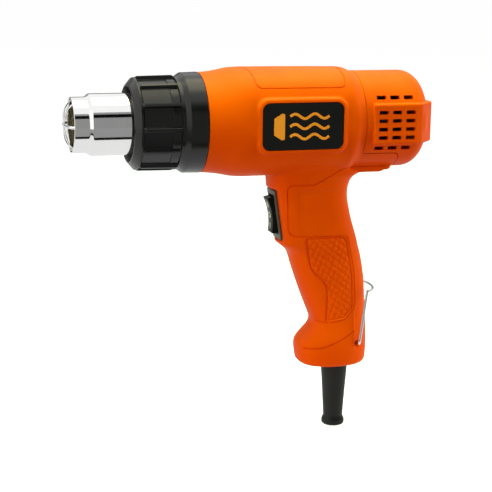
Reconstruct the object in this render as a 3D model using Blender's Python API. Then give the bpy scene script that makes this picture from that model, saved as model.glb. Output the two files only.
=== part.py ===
"""A hot-air gun with a pistol grip: chromed nozzle, black front collar, orange clamshell housing.

Sizes are in millimetres; place() turns each finished solid into metres. The barrel runs along X with
the nozzle at -X, +Z is up and -Y is the gun's left side. The origin is the centre of the flat rear
face that the gun stands on, which lies on the barrel's axis.
"""
import math

import bmesh
import bpy
from mathutils import Matrix, Vector

METRES = 0.001
GAP = 0.3
WALL = 2.4

# Barrel: where it starts and ends along X, and how its section changes (x, half height, squareness)
BARREL_FRONT = -154.9
PARTING = -51.0
BARREL = [
    (BARREL_FRONT, 32.0, 2.0), (-150.0, 32.3, 2.0), (-143.0, 33.2, 2.1), (-133.5, 34.8, 2.3),
    (-127.0, 35.1, 2.5), (-61.0, 34.6, 2.5), (-57.5, 34.0, 2.3), (-54.0, 32.1, 2.05),
    (PARTING - GAP / 2, 31.9, 2.0),
]
NECK_FRONT, NECK_RADIUS, NECK_BORE = -175.5, 28.0, 22.4
COVER_RADIUS, COVER_ROUND, COVER_END = 31.9, 12.5, -4.8

# Rear box of the cover: side faces, top, bottom and the stand face at X = 0
BOX_SIDE, BOX_TOP, BOX_BOTTOM, BOX_FRONT = 33.0, 12.6, -13.8, -46.0
STAND_HALF_WIDTH = 18.0

# Tongue of the housing that runs under the cover
TONGUE_TOP, TONGUE_END, TONGUE_CORNER = -20.3, -24.2, 5.0
RAIL_HALF_WIDTH, RAIL_END, RAIL_BOTTOM = 11.0, -22.5, -34.4

# Handle, from the barrel down: (z, front x, rear x, half width, squareness)
HANDLE = [
    (-14.0, -108.0, -54.0, 22.0, 2.6), (-36.0, -107.5, -53.5, 21.5, 2.6), (-48.0, -106.5, -53.3, 20.6, 2.6),
    (-60.0, -104.5, -51.4, 20.0, 2.6), (-78.0, -101.2, -46.0, 19.6, 2.6), (-83.0, -97.8, -44.6, 19.4, 2.5),
    (-88.0, -92.6, -43.2, 19.2, 2.5), (-97.0, -89.6, -41.0, 19.0, 2.4), (-110.0, -85.0, -39.1, 18.6, 2.4),
    (-124.0, -79.6, -38.3, 18.2, 2.4), (-134.0, -75.4, -37.4, 18.2, 2.4), (-139.0, -75.6, -37.2, 18.8, 2.4),
    (-145.0, -80.4, -37.0, 20.0, 2.4), (-150.5, -85.8, -36.8, 20.6, 2.4),
    (-163.0, -84.6, -37.4, 19.8, 2.4), (-165.8, -80.0, -41.0, 16.5, 2.3),
]
HANDLE_SIDES, BARREL_SIDES = 24, 32

# Switch: centre of its flat on the handle, the flat's lean, bezel and rocker
SWITCH_X, SWITCH_Z, SWITCH_LEAN = -101.0, -61.5, math.radians(-8.5)
BEZEL_HALF_WIDTH, BEZEL_HALF_HEIGHT, BEZEL_THICK = 8.0, 16.7, 1.4
BODY_HALF_WIDTH, BODY_HALF_HEIGHT, BODY_DEPTH = 6.6, 14.8, 17.0
POCKET_HALF_WIDTH, POCKET_HALF_HEIGHT, POCKET_DEPTH = 5.5, 13.4, 9.5
ROCKER_PIVOT, ROCKER_RADIUS, ROCKER_HALF_WIDTH = 3.0, 13.0, 5.2

# Hanging bail: pivot in the base, leg, cross wire bowed behind the grip
BAIL_X, BAIL_Z, BAIL_Y, BAIL_WIRE = -47.5, -149.8, 20.6, 1.0
BAIL_TOP_X, BAIL_TOP_Z, BAIL_BOW, BAIL_INNER = -42.9, -113.0, 10.2, 13.0

# Strain relief in the base
RELIEF_X, RELIEF_BORE, RELIEF_TOP, RELIEF_BOTTOM = -57.5, 3.6, -156.0, -211.0

# Collar and nozzle
COLLAR_FRONT, COLLAR_REAR, RIB_COUNT = -200.8, BARREL_FRONT - GAP, 12
NOZZLE_FRONT, NOZZLE_STEP, NOZZLE_TIP_RADIUS, NOZZLE_RADIUS = -236.6, -225.5, 17.6, 19.6
GUARD_BULGE, GUARD_RADIUS, GUARD_WIRE = 5.0, 15.7, 0.75

# Screws that close the clamshell, entered from the right side: (x, z)
SCREWS = [(-122, 28.4), (-122, -28.4), (-84, 28.4), (-64, -50), (-60, -104), (-75, -156)]
SCREW_SHANK, SCREW_HEAD, HEAD_SEAT, SCREW_TIP = 1.6, 3.1, 9.0, -10.0
COVER_SCREW_X = -29.0

# Fan, motor and heater, all on the barrel's axis
FAN_FRONT, FAN_REAR, FAN_RADIUS, FAN_HUB, FAN_BLADES = -75.0, -62.0, 27.0, 9.0, 9
MOTOR_FRONT, MOTOR_REAR, MOTOR_RADIUS, SHAFT_RADIUS = -52.0, -18.0, 13.8, 1.2
HEATER_FRONT, HEATER_REAR = -219.0, -138.0


def clear_scene():
    for old in list(bpy.data.objects):
        bpy.data.objects.remove(old, do_unlink=True)


def material(name, colour, roughness, metallic=0.0):
    made = bpy.data.materials.new(name)
    made.use_nodes = True
    shader = made.node_tree.nodes["Principled BSDF"]
    shader.inputs["Base Color"].default_value = (*colour, 1.0)
    shader.inputs["Roughness"].default_value = roughness
    shader.inputs["Metallic"].default_value = metallic
    return made


def solid(bm):
    """A temporary object from a bmesh, in millimetres, with its faces pointing out."""
    bmesh.ops.recalc_face_normals(bm, faces=bm.faces)
    mesh = bpy.data.meshes.new("solid")
    bm.to_mesh(mesh)
    bm.free()
    made = bpy.data.objects.new("solid", mesh)
    bpy.context.collection.objects.link(made)
    return made


def combine(operation, target, *tools):
    """Boolean of one solid with others, which are used up."""
    for tool in tools:
        step = target.modifiers.new(operation, "BOOLEAN")
        step.operation = operation
        step.object = tool
    view = bpy.context.evaluated_depsgraph_get()
    mesh = bpy.data.meshes.new_from_object(target.evaluated_get(view))
    target.modifiers.clear()
    target.data = mesh
    for tool in tools:
        bpy.data.objects.remove(tool)
    return target


def join(*targets):
    """Several separate solids as one tool."""
    bm = bmesh.new()
    for part in targets:
        bm.from_mesh(part.data)
        bpy.data.objects.remove(part)
    return solid(bm)


def copy(original):
    made = original.copy()
    made.data = original.data.copy()
    bpy.context.collection.objects.link(made)
    return made


def place(name, made, look, origin=(0.0, 0.0, 0.0)):
    """Names a finished solid, moves its origin to origin and brings it to metres."""
    origin = Vector(origin)
    made.data.transform(Matrix.Scale(METRES, 4) @ Matrix.Translation(-origin))
    made.location = origin * METRES
    made.name = name
    made.data.name = name
    made.data.materials.clear()
    made.data.materials.append(look)
    made.data.shade_smooth()
    made.data.set_sharp_from_angle(angle=math.radians(32))
    return made


def skin(rings, loop=False):
    """Joins rings of points; the ends are capped unless the rings close into a loop."""
    bm = bmesh.new()
    rows = [[bm.verts.new(point) for point in ring] for ring in rings]
    pairs = list(zip(rows, rows[1:] + rows[:1]))
    for one, two in pairs if loop else pairs[:-1]:
        for i in range(len(one)):
            j = (i + 1) % len(one)
            bm.faces.new((one[i], one[j], two[j], two[i]))
    if not loop:
        bm.faces.new(rows[0])
        bm.faces.new(rows[-1])
    return solid(bm)


def oval(half_a, half_b, squareness, sides):
    """Points of a superellipse, a plain ellipse at squareness 2, with a flat across each half axis."""
    points = []
    flat = math.cos(math.pi / sides)
    for i in range(sides):
        turn = math.tau * (i + 0.5) / sides
        a, b = math.cos(turn) / flat, math.sin(turn) / flat
        points.append((half_a * math.copysign(abs(a) ** (2 / squareness), a),
                       half_b * math.copysign(abs(b) ** (2 / squareness), b)))
    return points


def turned_x(profile, sides):
    """Solid of revolution about the barrel's axis from a closed outline of (x, radius)."""
    turns = [math.tau * i / sides for i in range(sides)]
    rings = [[(x, r * math.cos(t), r * math.sin(t)) for x, r in profile] for t in turns]
    return skin(rings, loop=True)


def turned_z(profile, x, sides):
    """Solid of revolution about an upright axis at x from a closed outline of (z, radius)."""
    turns = [math.tau * i / sides for i in range(sides)]
    rings = [[(x + r * math.cos(t), r * math.sin(t), z) for z, r in profile] for t in turns]
    return skin(rings, loop=True)


def bar(start, end, radius, sides=16):
    """Cylinder between two points, or a cone with two radii."""
    start, end = Vector(start), Vector(end)
    radii = radius if isinstance(radius, tuple) else (radius, radius)
    turn = (end - start).to_track_quat("Z", "Y")
    rings = []
    for centre, r in zip((start, end), radii):
        spokes = [math.tau * i / sides for i in range(sides)]
        rings.append([centre + turn @ Vector((r * math.cos(t), r * math.sin(t), 0)) for t in spokes])
    return skin(rings)


def block(low, high):
    corners = [(low[0], low[1]), (high[0], low[1]), (high[0], high[1]), (low[0], high[1])]
    return skin([[(x, y, z) for x, y in corners] for z in (low[2], high[2])])


def slab(outline, y_low, y_high):
    """An outline of (x, z) given thickness along Y."""
    return skin([[(x, y, z) for x, z in outline] for y in (y_low, y_high)])


def rounded(x_low, z_low, x_high, z_high, radius, steps=4):
    """Outline of a rectangle with round corners."""
    centres = [(x_high - radius, z_high - radius, 0), (x_low + radius, z_high - radius, 90),
               (x_low + radius, z_low + radius, 180), (x_high - radius, z_low + radius, 270)]
    points = []
    for x, z, first in centres:
        for i in range(steps + 1):
            turn = math.radians(first + 90 * i / steps)
            points.append((x + radius * math.cos(turn), z + radius * math.sin(turn)))
    return points


def wire(points, radius, sides=8):
    """Round wire along a path, its rings turned with the path without twisting."""
    points = [Vector(point) for point in points]
    rings = []
    ahead = (points[1] - points[0]).normalized()
    side = ahead.orthogonal().normalized()
    for i, point in enumerate(points):
        before = points[max(i - 1, 0)]
        after = points[min(i + 1, len(points) - 1)]
        now = (after - before).normalized()
        side = (ahead.rotation_difference(now) @ side).normalized()
        ahead = now
        up = now.cross(side)
        spokes = [math.tau * k / sides for k in range(sides)]
        rings.append([point + radius * (math.cos(t) * side + math.sin(t) * up) for t in spokes])
    return skin(rings)


def smooth_path(points, steps=4):
    """Points on a smooth curve through the given ones."""
    points = [Vector(point) for point in points]
    ends = [points[0] * 2 - points[1]] + points + [points[-1] * 2 - points[-2]]
    path = []
    for a, b, c, d in zip(ends, ends[1:], ends[2:], ends[3:]):
        for i in range(steps):
            t = i / steps
            path.append(0.5 * (2 * b + (c - a) * t + (2 * a - 5 * b + 4 * c - d) * t * t
                               + (3 * b - 3 * c + d - a) * t ** 3))
    return path + [points[-1]]


def barrel(inset, front, rear):
    """The barrel's loft, made smaller by inset and cut or stretched to front and rear."""
    inside = [station for station in BARREL if front < station[0] < rear]
    first, last = BARREL[0], BARREL[-1]
    stations = [(front, first[1], first[2])] + inside + [(rear, last[1], last[2])]
    return skin([[(x, y, z) for y, z in oval(r - inset, r - inset, n, BARREL_SIDES)]
                 for x, r, n in stations])


def handle(inset, low):
    """The grip's loft down to the base, made smaller by inset and ended at height low."""
    stations = [station for station in HANDLE if station[0] > low]
    if inset:
        below = HANDLE[len(stations)]
        stations.append((low, *below[1:]))
    rings = []
    for z, front, rear, width, n in stations:
        middle, half = (front + rear) / 2, (rear - front) / 2
        ring = oval(half - inset, width - inset, n, HANDLE_SIDES)
        rings.append([(middle + x, y, z) for x, y in ring])
    return skin(rings)


def on_switch(made):
    """Moves a solid from the switch's own frame, where -X faces the finger, to the handle."""
    made.data.transform(Matrix.Translation((SWITCH_X, 0, SWITCH_Z)) @ Matrix.Rotation(SWITCH_LEAN, 4, "Y"))
    return made


def tongue_outline(grow):
    """Side outline of the tongue below the rear cover, made larger by grow."""
    top, end = TONGUE_TOP + grow, TONGUE_END + grow
    corner = TONGUE_CORNER + grow
    arc = [(end - corner + corner * math.cos(t), top - corner + corner * math.sin(t))
           for t in (math.pi / 2 * i / 4 for i in range(5))]
    return [(PARTING - 12, -40), (end, -40)] + arc + [(PARTING - 12, top)]


def cover_body(inset):
    """The rear cover's dome and its cross box, made smaller by inset."""
    radius, end = COVER_RADIUS - inset, COVER_END - inset
    start = PARTING + GAP / 2 - inset
    centre = end - COVER_ROUND
    arc = [(centre + COVER_ROUND * math.cos(t), radius - COVER_ROUND + COVER_ROUND * math.sin(t))
           for t in (math.pi / 2 * i / 5 for i in range(6))]
    rings = [[(x, r * math.cos(t), r * math.sin(t)) for t in
              (math.tau * i / BARREL_SIDES for i in range(BARREL_SIDES))]
             for x, r in [(start, radius)] + arc[::-1]]
    dome = skin(rings)
    side, top, bottom = BOX_SIDE - inset, BOX_TOP - inset, BOX_BOTTOM + inset
    half = [(BOX_FRONT + inset, side), (-17.0, side), (-12.5 - inset / 2, side - 1.4),
            (-inset, STAND_HALF_WIDTH - inset / 2)]
    plan = half + [(x, -y) for x, y in reversed(half)]
    box = skin([[(x, y, z) for x, y in plan] for z in (bottom, top)])
    return combine("UNION", dome, box)


def make_housing(look):
    """Both halves of the clamshell: barrel, neck, grip, base and tongue, split on the middle plane."""
    outer = combine(
        "UNION", barrel(0, BARREL_FRONT, PARTING - GAP / 2), handle(0, -200.0),
        bar((NECK_FRONT, 0, 0), (BARREL_FRONT + 5, 0, 0), NECK_RADIUS, BARREL_SIDES),
        slab(rounded(-125.0, -17.0, -65.5, 17.0, 6.0), -35.9, 35.9))
    shelf = combine(
        "INTERSECT", bar((PARTING - 5, 0, 0), (RAIL_END, 0, 0), COVER_RADIUS - 0.1, BARREL_SIDES),
        slab(tongue_outline(0), -40, 40))
    rail = block((PARTING - 8, -RAIL_HALF_WIDTH, RAIL_BOTTOM), (RAIL_END, RAIL_HALF_WIDTH, -28.0))
    rail = combine("DIFFERENCE", rail, block((TONGUE_END, -20, -COVER_RADIUS - GAP), (0, 20, 0)))
    outer = combine("UNION", outer, shelf, rail)

    inner = combine(
        "UNION", barrel(WALL, BARREL_FRONT + 3, 0.0), handle(WALL, -163.0),
        bar((NECK_FRONT + 2.5, 0, 0), (BARREL_FRONT + 5, 0, 0), NECK_BORE, BARREL_SIDES))
    shell = combine("DIFFERENCE", outer, inner)

    posts = [bar((x, -40, z), (x, 40, z), 4.6, 12) for x, z in SCREWS]
    posts += [bar((BAIL_X, side * 12.2, BAIL_Z), (BAIL_X, side * 24, BAIL_Z), 3.6, 12) for side in (-1, 1)]
    inside = combine("UNION", barrel(WALL / 2, BARREL_FRONT + 2, -60.0), handle(WALL / 2, -164.0))
    shell = combine("UNION", shell, combine("INTERSECT", join(*posts), inside))

    flat = on_switch(block((-12, -30, -17.4), (0, 30, 17.4)))
    window = on_switch(block((-5, -BODY_HALF_WIDTH - GAP, -BODY_HALF_HEIGHT - GAP),
                             (10, BODY_HALF_WIDTH + GAP, BODY_HALF_HEIGHT + GAP)))
    cuts = [
        flat, window,
        bar((NECK_FRONT - 5, 0, 0), (NECK_FRONT + 10, 0, 0), NOZZLE_RADIUS + 0.4, BARREL_SIDES),
        bar((RELIEF_X, 0, -175), (RELIEF_X, 0, -150), 9.5, 20),
        bar((BAIL_X, -30, BAIL_Z), (BAIL_X, 30, BAIL_Z), BAIL_WIRE + 0.4, 10),
        slab(rounded(-122.3, -15.0, -68.2, 15.0, 5.0), -40, -34.6),
        slab(rounded(-122.3, -15.0, -68.2, 15.0, 5.0), 34.6, 40),
        bar((COVER_SCREW_X, 0, -40), (COVER_SCREW_X, 0, -25), SCREW_SHANK + GAP, 10),
        bar((COVER_SCREW_X, 0, -40), (COVER_SCREW_X, 0, RAIL_BOTTOM + 2.5), SCREW_HEAD + GAP, 12),
    ]
    for x, z in SCREWS:
        cuts.append(bar((x, SCREW_TIP - 1, z), (x, 40, z), SCREW_SHANK + GAP, 10))
        cuts.append(bar((x, HEAD_SEAT, z), (x, 40, z), SCREW_HEAD + GAP, 12))
    for cutter in cuts:
        shell = combine("DIFFERENCE", shell, cutter)
    left = combine("INTERSECT", copy(shell), block((-200, -50, -200), (20, -GAP / 2, 60)))
    right = combine("INTERSECT", shell, block((-200, GAP / 2, -200), (20, 50, 60)))
    place("housing_left", left, look)
    place("housing_right", right, look)


def make_rear_cover(look):
    """Vented cover with the box that the gun stands on."""
    cover = combine("DIFFERENCE", cover_body(0), cover_body(WALL))
    cuts = [slab(tongue_outline(GAP), -40, 40)]
    slots = []
    for z in [16.2] + [7.1 - 5.4 * row for row in range(4)] + [-16.4]:
        for column in range(3):
            x = -43.1 + 9.35 * column
            slots.append(block((x, -50, z - 1.25), (x + 6.6, 50, z + 1.25)))
    cuts.append(join(*slots))
    for cutter in cuts:
        cover = combine("DIFFERENCE", cover, cutter)
    post = combine("UNION", bar((COVER_SCREW_X, 0, -28.8), (COVER_SCREW_X, 0, -20), 4.0, 12),
                   block((COVER_SCREW_X, -1.5, -28.2), (-5.5, 1.5, -20.5)))
    post = combine("INTERSECT", post, cover_body(WALL / 2))
    cover = combine("UNION", cover, post)
    hole = bar((COVER_SCREW_X, 0, -40), (COVER_SCREW_X, 0, -22), SCREW_SHANK + GAP, 10)
    cover = combine("DIFFERENCE", cover, hole)
    place("rear_cover", cover, look)


def make_collar(look):
    """Black collar with its ribbed grip; it turns on the neck of the housing."""
    body = turned_x([
        (COLLAR_FRONT, 24.6), (COLLAR_FRONT + 0.6, 25.2), (-195.2, 29.2), (-173.0, 29.2), (-169.2, 31.9),
        (-167.5, 32.2), (COLLAR_REAR, 32.2), (COLLAR_REAR, NECK_RADIUS + 0.4), (-177.0, NECK_RADIUS + 0.4),
        (-177.0, 21.2), (-187.0, 21.2), (COLLAR_FRONT, 24.0),
    ], 36)
    ribs = []
    for i in range(RIB_COUNT):
        rib = block((-194.5, -0.8, 28.0), (-172.0, 0.8, 30.2))
        rib.data.transform(Matrix.Rotation(math.tau * (i + 0.35) / RIB_COUNT, 4, "X"))
        ribs.append(rib)
    place("front_collar", combine("UNION", body, join(*ribs)), look, (COLLAR_REAR, 0, 0))


def make_nozzle(chrome):
    """Chromed outlet tube with its stepped tip and the wire guard in its mouth."""
    tip, tube = NOZZLE_TIP_RADIUS, NOZZLE_RADIUS
    place("nozzle_tube", turned_x([
        (NOZZLE_FRONT, tip - 0.9), (NOZZLE_FRONT + 0.7, tip), (NOZZLE_STEP - 1.6, tip),
        (NOZZLE_STEP + 1.2, tube), (-172.6, tube), (-172.6, 22.0), (-170.6, 22.0), (-170.6, tube - 1),
        (NOZZLE_STEP + 1.8, tube - 1), (NOZZLE_STEP - 1.2, tip - 1.1), (NOZZLE_FRONT, tip - 1.1),
    ], 28), chrome)
    hoop = turned_x([(NOZZLE_FRONT + 1.0 + 0.8 * math.cos(t), GUARD_RADIUS - 0.3 + 0.6 * math.sin(t))
                     for t in (math.tau * i / 5 for i in range(5))], 18)
    spans = []
    for i in range(3):
        turn = math.pi * i / 3
        path = []
        for k in range(9):
            s = -1 + 2 * k / 8
            path.append((NOZZLE_FRONT + 0.6 - GUARD_BULGE * math.cos(s * math.pi / 2) ** 0.8 + GUARD_WIRE,
                         GUARD_RADIUS * s * math.cos(turn), GUARD_RADIUS * s * math.sin(turn)))
        spans.append(wire(path, GUARD_WIRE, 5))
    place("nozzle_guard", combine("UNION", hoop, *spans), chrome)


def make_switch(body_look, rocker_look):
    """Rocker switch: a body with its bezel, and the rocker on its cross axle."""
    bezel = slab(rounded(-BEZEL_THICK - GAP, -BEZEL_HALF_HEIGHT, -GAP, BEZEL_HALF_HEIGHT, 0.3, 1),
                 -BEZEL_HALF_WIDTH, BEZEL_HALF_WIDTH)
    box = block((-BEZEL_THICK / 2, -BODY_HALF_WIDTH, -BODY_HALF_HEIGHT),
                (BODY_DEPTH, BODY_HALF_WIDTH, BODY_HALF_HEIGHT))
    tabs = [block((BODY_DEPTH - 1, -2.4, z - 0.4), (BODY_DEPTH + 7, 2.4, z + 0.4)) for z in (-9.5, 0, 9.5)]
    body = combine("UNION", bezel, box, join(*tabs))
    pocket = block((-5, -POCKET_HALF_WIDTH, -POCKET_HALF_HEIGHT),
                   (POCKET_DEPTH, POCKET_HALF_WIDTH, POCKET_HALF_HEIGHT))
    axle_hole = bar((ROCKER_PIVOT, -9, 0), (ROCKER_PIVOT, 9, 0), 1.5, 10)
    body = combine("DIFFERENCE", body, pocket, axle_hole)
    place("switch_body", on_switch(body), body_look)

    half = [(-4.3, 0.0), (-6.0, 11.7), (-1.7, 12.1)]
    half += [(ROCKER_PIVOT - ROCKER_RADIUS * math.sin(t), ROCKER_RADIUS * math.cos(t)) for t in (0.24, 0.0)]
    half += [(5.2, 9.0), (7.0, 3.0)]
    outline = half + [(x, -z) for x, z in reversed(half[1:])]
    rocker = slab(outline, -ROCKER_HALF_WIDTH, ROCKER_HALF_WIDTH)
    axle = bar((ROCKER_PIVOT, -6.4, 0), (ROCKER_PIVOT, 6.4, 0), 1.2, 10)
    turn = Matrix.Rotation(SWITCH_LEAN, 3, "Y")
    pivot = Vector((SWITCH_X, 0, SWITCH_Z)) + turn @ Vector((ROCKER_PIVOT, 0, 0))
    place("switch_rocker", on_switch(combine("UNION", rocker, axle)), rocker_look, pivot)


def make_bail(chrome):
    """Wire bail: two legs hinged in the base and a cross wire bowed behind the grip."""
    half = [(BAIL_X, BAIL_INNER, BAIL_Z), (BAIL_X, BAIL_Y - 1.6, BAIL_Z), (BAIL_X + 0.1, BAIL_Y - 0.5, BAIL_Z + 0.5),
            (BAIL_X + 0.2, BAIL_Y, BAIL_Z + 1.6)]
    for s in (0.25, 0.5, 0.75, 0.95):
        half.append((BAIL_X + s * (BAIL_TOP_X - BAIL_X), BAIL_Y, BAIL_Z + s * (BAIL_TOP_Z - BAIL_Z)))
    bow = []
    for i in range(11):
        turn = math.pi / 2 * (1 - i / 10)
        bow.append((BAIL_TOP_X + 0.4 + BAIL_BOW * math.cos(turn) ** 1.3, BAIL_Y * math.sin(turn) ** 0.8, BAIL_TOP_Z))
    near = half + bow
    path = near + [(x, -y, z) for x, y, z in reversed(near[:-1])]
    place("hanging_bail", wire(path, BAIL_WIRE, 6), chrome, (BAIL_X, 0, BAIL_Z))


def make_strain_relief(look):
    """Rubber sleeve that the mains cord leaves through; its flange sits inside the base."""
    place("strain_relief", turned_z([
        (RELIEF_TOP, RELIEF_BORE), (RELIEF_TOP, 11.0), (-160.0, 11.0), (-160.0, 9.1), (-168.0, 9.1),
        (-186.0, 7.8), (-204.0, 6.6), (-207.0, 7.0), (-208.5, 7.8), (-210.2, 7.8), (RELIEF_BOTTOM, 7.0),
        (RELIEF_BOTTOM, RELIEF_BORE),
    ], RELIEF_X, 20), look)


def make_badges(look):
    """One plain black plate let into each side of the barrel."""
    for name, side in (("badge_left", -1), ("badge_right", 1)):
        outline = rounded(-122.0, -14.7, -68.5, 14.7, 4.7)
        y = sorted((side * 34.9, side * 35.7))
        place(name, slab(outline, *y), look)


def make_screws(steel):
    for i, (x, z) in enumerate(SCREWS, 1):
        shank = bar((x, SCREW_TIP, z), (x, HEAD_SEAT + 1.5, z), SCREW_SHANK, 8)
        head = bar((x, HEAD_SEAT + GAP, z), (x, HEAD_SEAT + 2.6, z), (SCREW_HEAD, SCREW_HEAD - 0.8), 10)
        place(f"housing_screw_{i}", combine("UNION", head, shank), steel)
    x = COVER_SCREW_X
    shank = bar((x, 0, RAIL_BOTTOM - 1), (x, 0, -23), SCREW_SHANK, 8)
    head = bar((x, 0, RAIL_BOTTOM + 2.2), (x, 0, RAIL_BOTTOM + 0.2), (SCREW_HEAD, SCREW_HEAD - 0.9), 10)
    place("cover_screw", combine("UNION", head, shank), steel)


def make_fan(plastic, steel, can_look, frame_look, board_look):
    """Motor behind an axial fan, held by a frame across the barrel."""
    hub = turned_x([(FAN_FRONT, 3.2), (FAN_FRONT, 6.5), (FAN_FRONT + 3, FAN_HUB), (FAN_REAR, FAN_HUB),
                    (FAN_REAR, SHAFT_RADIUS + GAP), (FAN_FRONT + 4, SHAFT_RADIUS + GAP),
                    (FAN_FRONT + 4, 1.0), (FAN_FRONT, 1.0)], 20)
    blades = []
    for i in range(FAN_BLADES):
        rings = []
        for k in range(3):
            r = 8.2 + (FAN_RADIUS - 8.2) * k / 2
            lean = math.radians(52 - 24 * k / 2)
            along, across = math.sin(lean), math.cos(lean)
            half, thick = 6.0, 0.6
            ring = [(s * half * across + t * thick * along, s * half * along - t * thick * across)
                    for s, t in ((-1, -1), (1, -1), (1, 1), (-1, 1))]
            middle = (FAN_FRONT + FAN_REAR) / 2
            ring = [(middle + a, b, r) for a, b in ring]
            rings.append(ring)
        blade = skin(rings)
        blade.data.transform(Matrix.Rotation(math.tau * i / FAN_BLADES, 4, "X"))
        blades.append(blade)
    place("fan_impeller", combine("UNION", hub, *blades), plastic, (FAN_REAR, 0, 0))
    place("motor_shaft", bar((FAN_FRONT + 4.4, 0, 0), (MOTOR_REAR - 4, 0, 0), SHAFT_RADIUS, 10), steel,
          (FAN_REAR, 0, 0))
    bore = SHAFT_RADIUS + GAP
    place("motor_can", turned_x([
        (MOTOR_FRONT - 2.5, bore), (MOTOR_FRONT - 2.5, 4.0), (MOTOR_FRONT, 4.0), (MOTOR_FRONT, MOTOR_RADIUS - 1),
        (MOTOR_FRONT + 1, MOTOR_RADIUS), (MOTOR_REAR - 1, MOTOR_RADIUS), (MOTOR_REAR, MOTOR_RADIUS - 1),
        (MOTOR_REAR, bore)], 18), can_look)
    ring = turned_x([(-57.2, 27.6), (-57.2, 29.2), (-53.8, 29.2), (-53.8, 27.6)], 24)
    spider = turned_x([(-57.6, 4.6), (-57.6, 9.5), (-52.4, 9.5), (-52.4, 4.6)], 20)
    arms = []
    for i in range(4):
        arm = block((-57.2, -1.5, 8.5), (-54.2, 1.5, 28.2))
        arm.data.transform(Matrix.Rotation(math.tau * (i + 0.5) / 4, 4, "X"))
        arms.append(arm)
    place("motor_frame", combine("UNION", ring, spider, *arms), frame_look)
    place("motor_board", turned_x([(MOTOR_REAR + 0.5, 2.2), (MOTOR_REAR + 0.5, 12.4), (MOTOR_REAR + 2.1, 12.4),
                                   (MOTOR_REAR + 2.1, 2.2)], 20), board_look)


def make_heater(mica, ceramic, wire_look, steel):
    """Heating element: crossed mica plates, the coil on them, and the sleeve around it."""
    plates = []
    for i in range(3):
        plate = block((HEATER_FRONT, -0.6, -12.6), (HEATER_REAR, 0.6, 12.6))
        plate.data.transform(Matrix.Rotation(math.pi * i / 3, 4, "X"))
        plates.append(plate)
    place("heater_core", combine("UNION", *plates), mica)
    turns, steps, radius = 9, 8, 14.4
    path = []
    for i in range(turns * steps + 1):
        turn = math.tau * (i + 0.5) / steps
        x = HEATER_FRONT + 4 + (HEATER_REAR - HEATER_FRONT - 12) * i / (turns * steps)
        path.append((x, radius * math.cos(turn), radius * math.sin(turn)))
    place("heater_coil", wire(path, 0.6, 4), wire_look)
    place("heater_sleeve", turned_x([(HEATER_FRONT - 1, 16.9), (HEATER_FRONT - 1, 17.9), (HEATER_REAR + 1, 17.9),
                                     (HEATER_REAR + 1, 16.9)], 20), mica)
    place("heater_ring", turned_x([(-145.0, 18.3), (-145.0, 30.0), (-141.0, 30.0), (-141.0, 18.3)], 20), ceramic)
    place("heater_cap", turned_x([(HEATER_REAR + 0.4, 2.0), (HEATER_REAR + 0.4, 12.4), (HEATER_REAR + 4, 12.4),
                                  (HEATER_REAR + 4, 2.0)], 14), ceramic)
    place("thermal_cutout", block((HEATER_REAR + 4.4, -4.5, 4.0), (HEATER_REAR + 14, 4.5, 9.0)), steel)


def make_handle_parts(plastic, steel, board_look, capacitor_look):
    """What sits in the grip: capacitor, terminal block and the clamp on the cord's end."""
    place("capacitor", block((-77, -5, -99), (-65.5, 5, -83)), capacitor_look)
    place("control_board", block((-74, -9, -122), (-72.4, 9, -103)), board_look)
    terminal = block((-66, -9, -134), (-54, 9, -124))
    holes = [bar((-60, y, -136), (-60, y, -122), 2.0, 8) for y in (-5, 5)]
    place("terminal_block", combine("DIFFERENCE", terminal, *holes), plastic)
    clamp = block((-64, -11, -151.5), (-51, 11, -146.5))
    groove = bar((-57.5, 0, -160), (-57.5, 0, -140), RELIEF_BORE + 0.2, 16)
    clamp = combine("DIFFERENCE", clamp, groove)
    holes = [bar((-70, y, -149), (-45, y, -149), SCREW_SHANK + GAP, 8) for y in (-8, 8)]
    place("cord_clamp", combine("DIFFERENCE", clamp, *holes), plastic)
    for i, y in enumerate((-8, 8), 1):
        shank = bar((-63, y, -149), (-50.5, y, -149), SCREW_SHANK, 8)
        head = bar((-50.7, y, -149), (-49.2, y, -149), (2.8, 2.0), 8)
        place(f"clamp_screw_{i}", combine("UNION", shank, head), steel)


def make_leads(looks):
    """Insulated leads between the terminal block, switch, motor and heater."""
    routes = {
        "lead_supply": [(-60, -5, -123.5), (-66, -5, -116), (-68.5, -6, -105), (-68.5, -8, -92),
                        (-68.5, -7, -80), (-70, -3, -70), (-75.3, 0, -67.4)],
        "lead_neutral": [(-60, 5, -123.5), (-53.5, 7, -112), (-52, 8, -100), (-56, 9, -82), (-66, 9, -66),
                         (-72, 9, -50), (-80, 8, -40), (-98, 8, -32), (-112, 6, -24), (-124, 4, -12),
                         (-133.2, 0, -5)],
        "lead_heater": [(-76.7, 0, -57.9), (-71.5, 3, -54), (-72, 2, -46), (-80, 0, -39), (-98, -6, -33),
                        (-112, -6, -24), (-119, -3, -8), (-119.5, -1, 4), (-123.4, 0, 6.5)],
        "lead_motor": [(-77.6, -0.4, -48.2), (-74, -4, -44), (-68, -12, -38), (-61.5, -13, -29.5),
                       (-59.2, -12, -24.5), (-54, -11.5, -21), (-40, -11, -19), (-24, -10, -16),
                       (-14.5, -8.5, -13), (-12.6, -7, -9), (-15.3, -6.5, -7.5)],
    }
    for (name, route), look in zip(routes.items(), looks):
        place(name, wire(smooth_path(route, 2), 1.1, 5), look)


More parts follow.
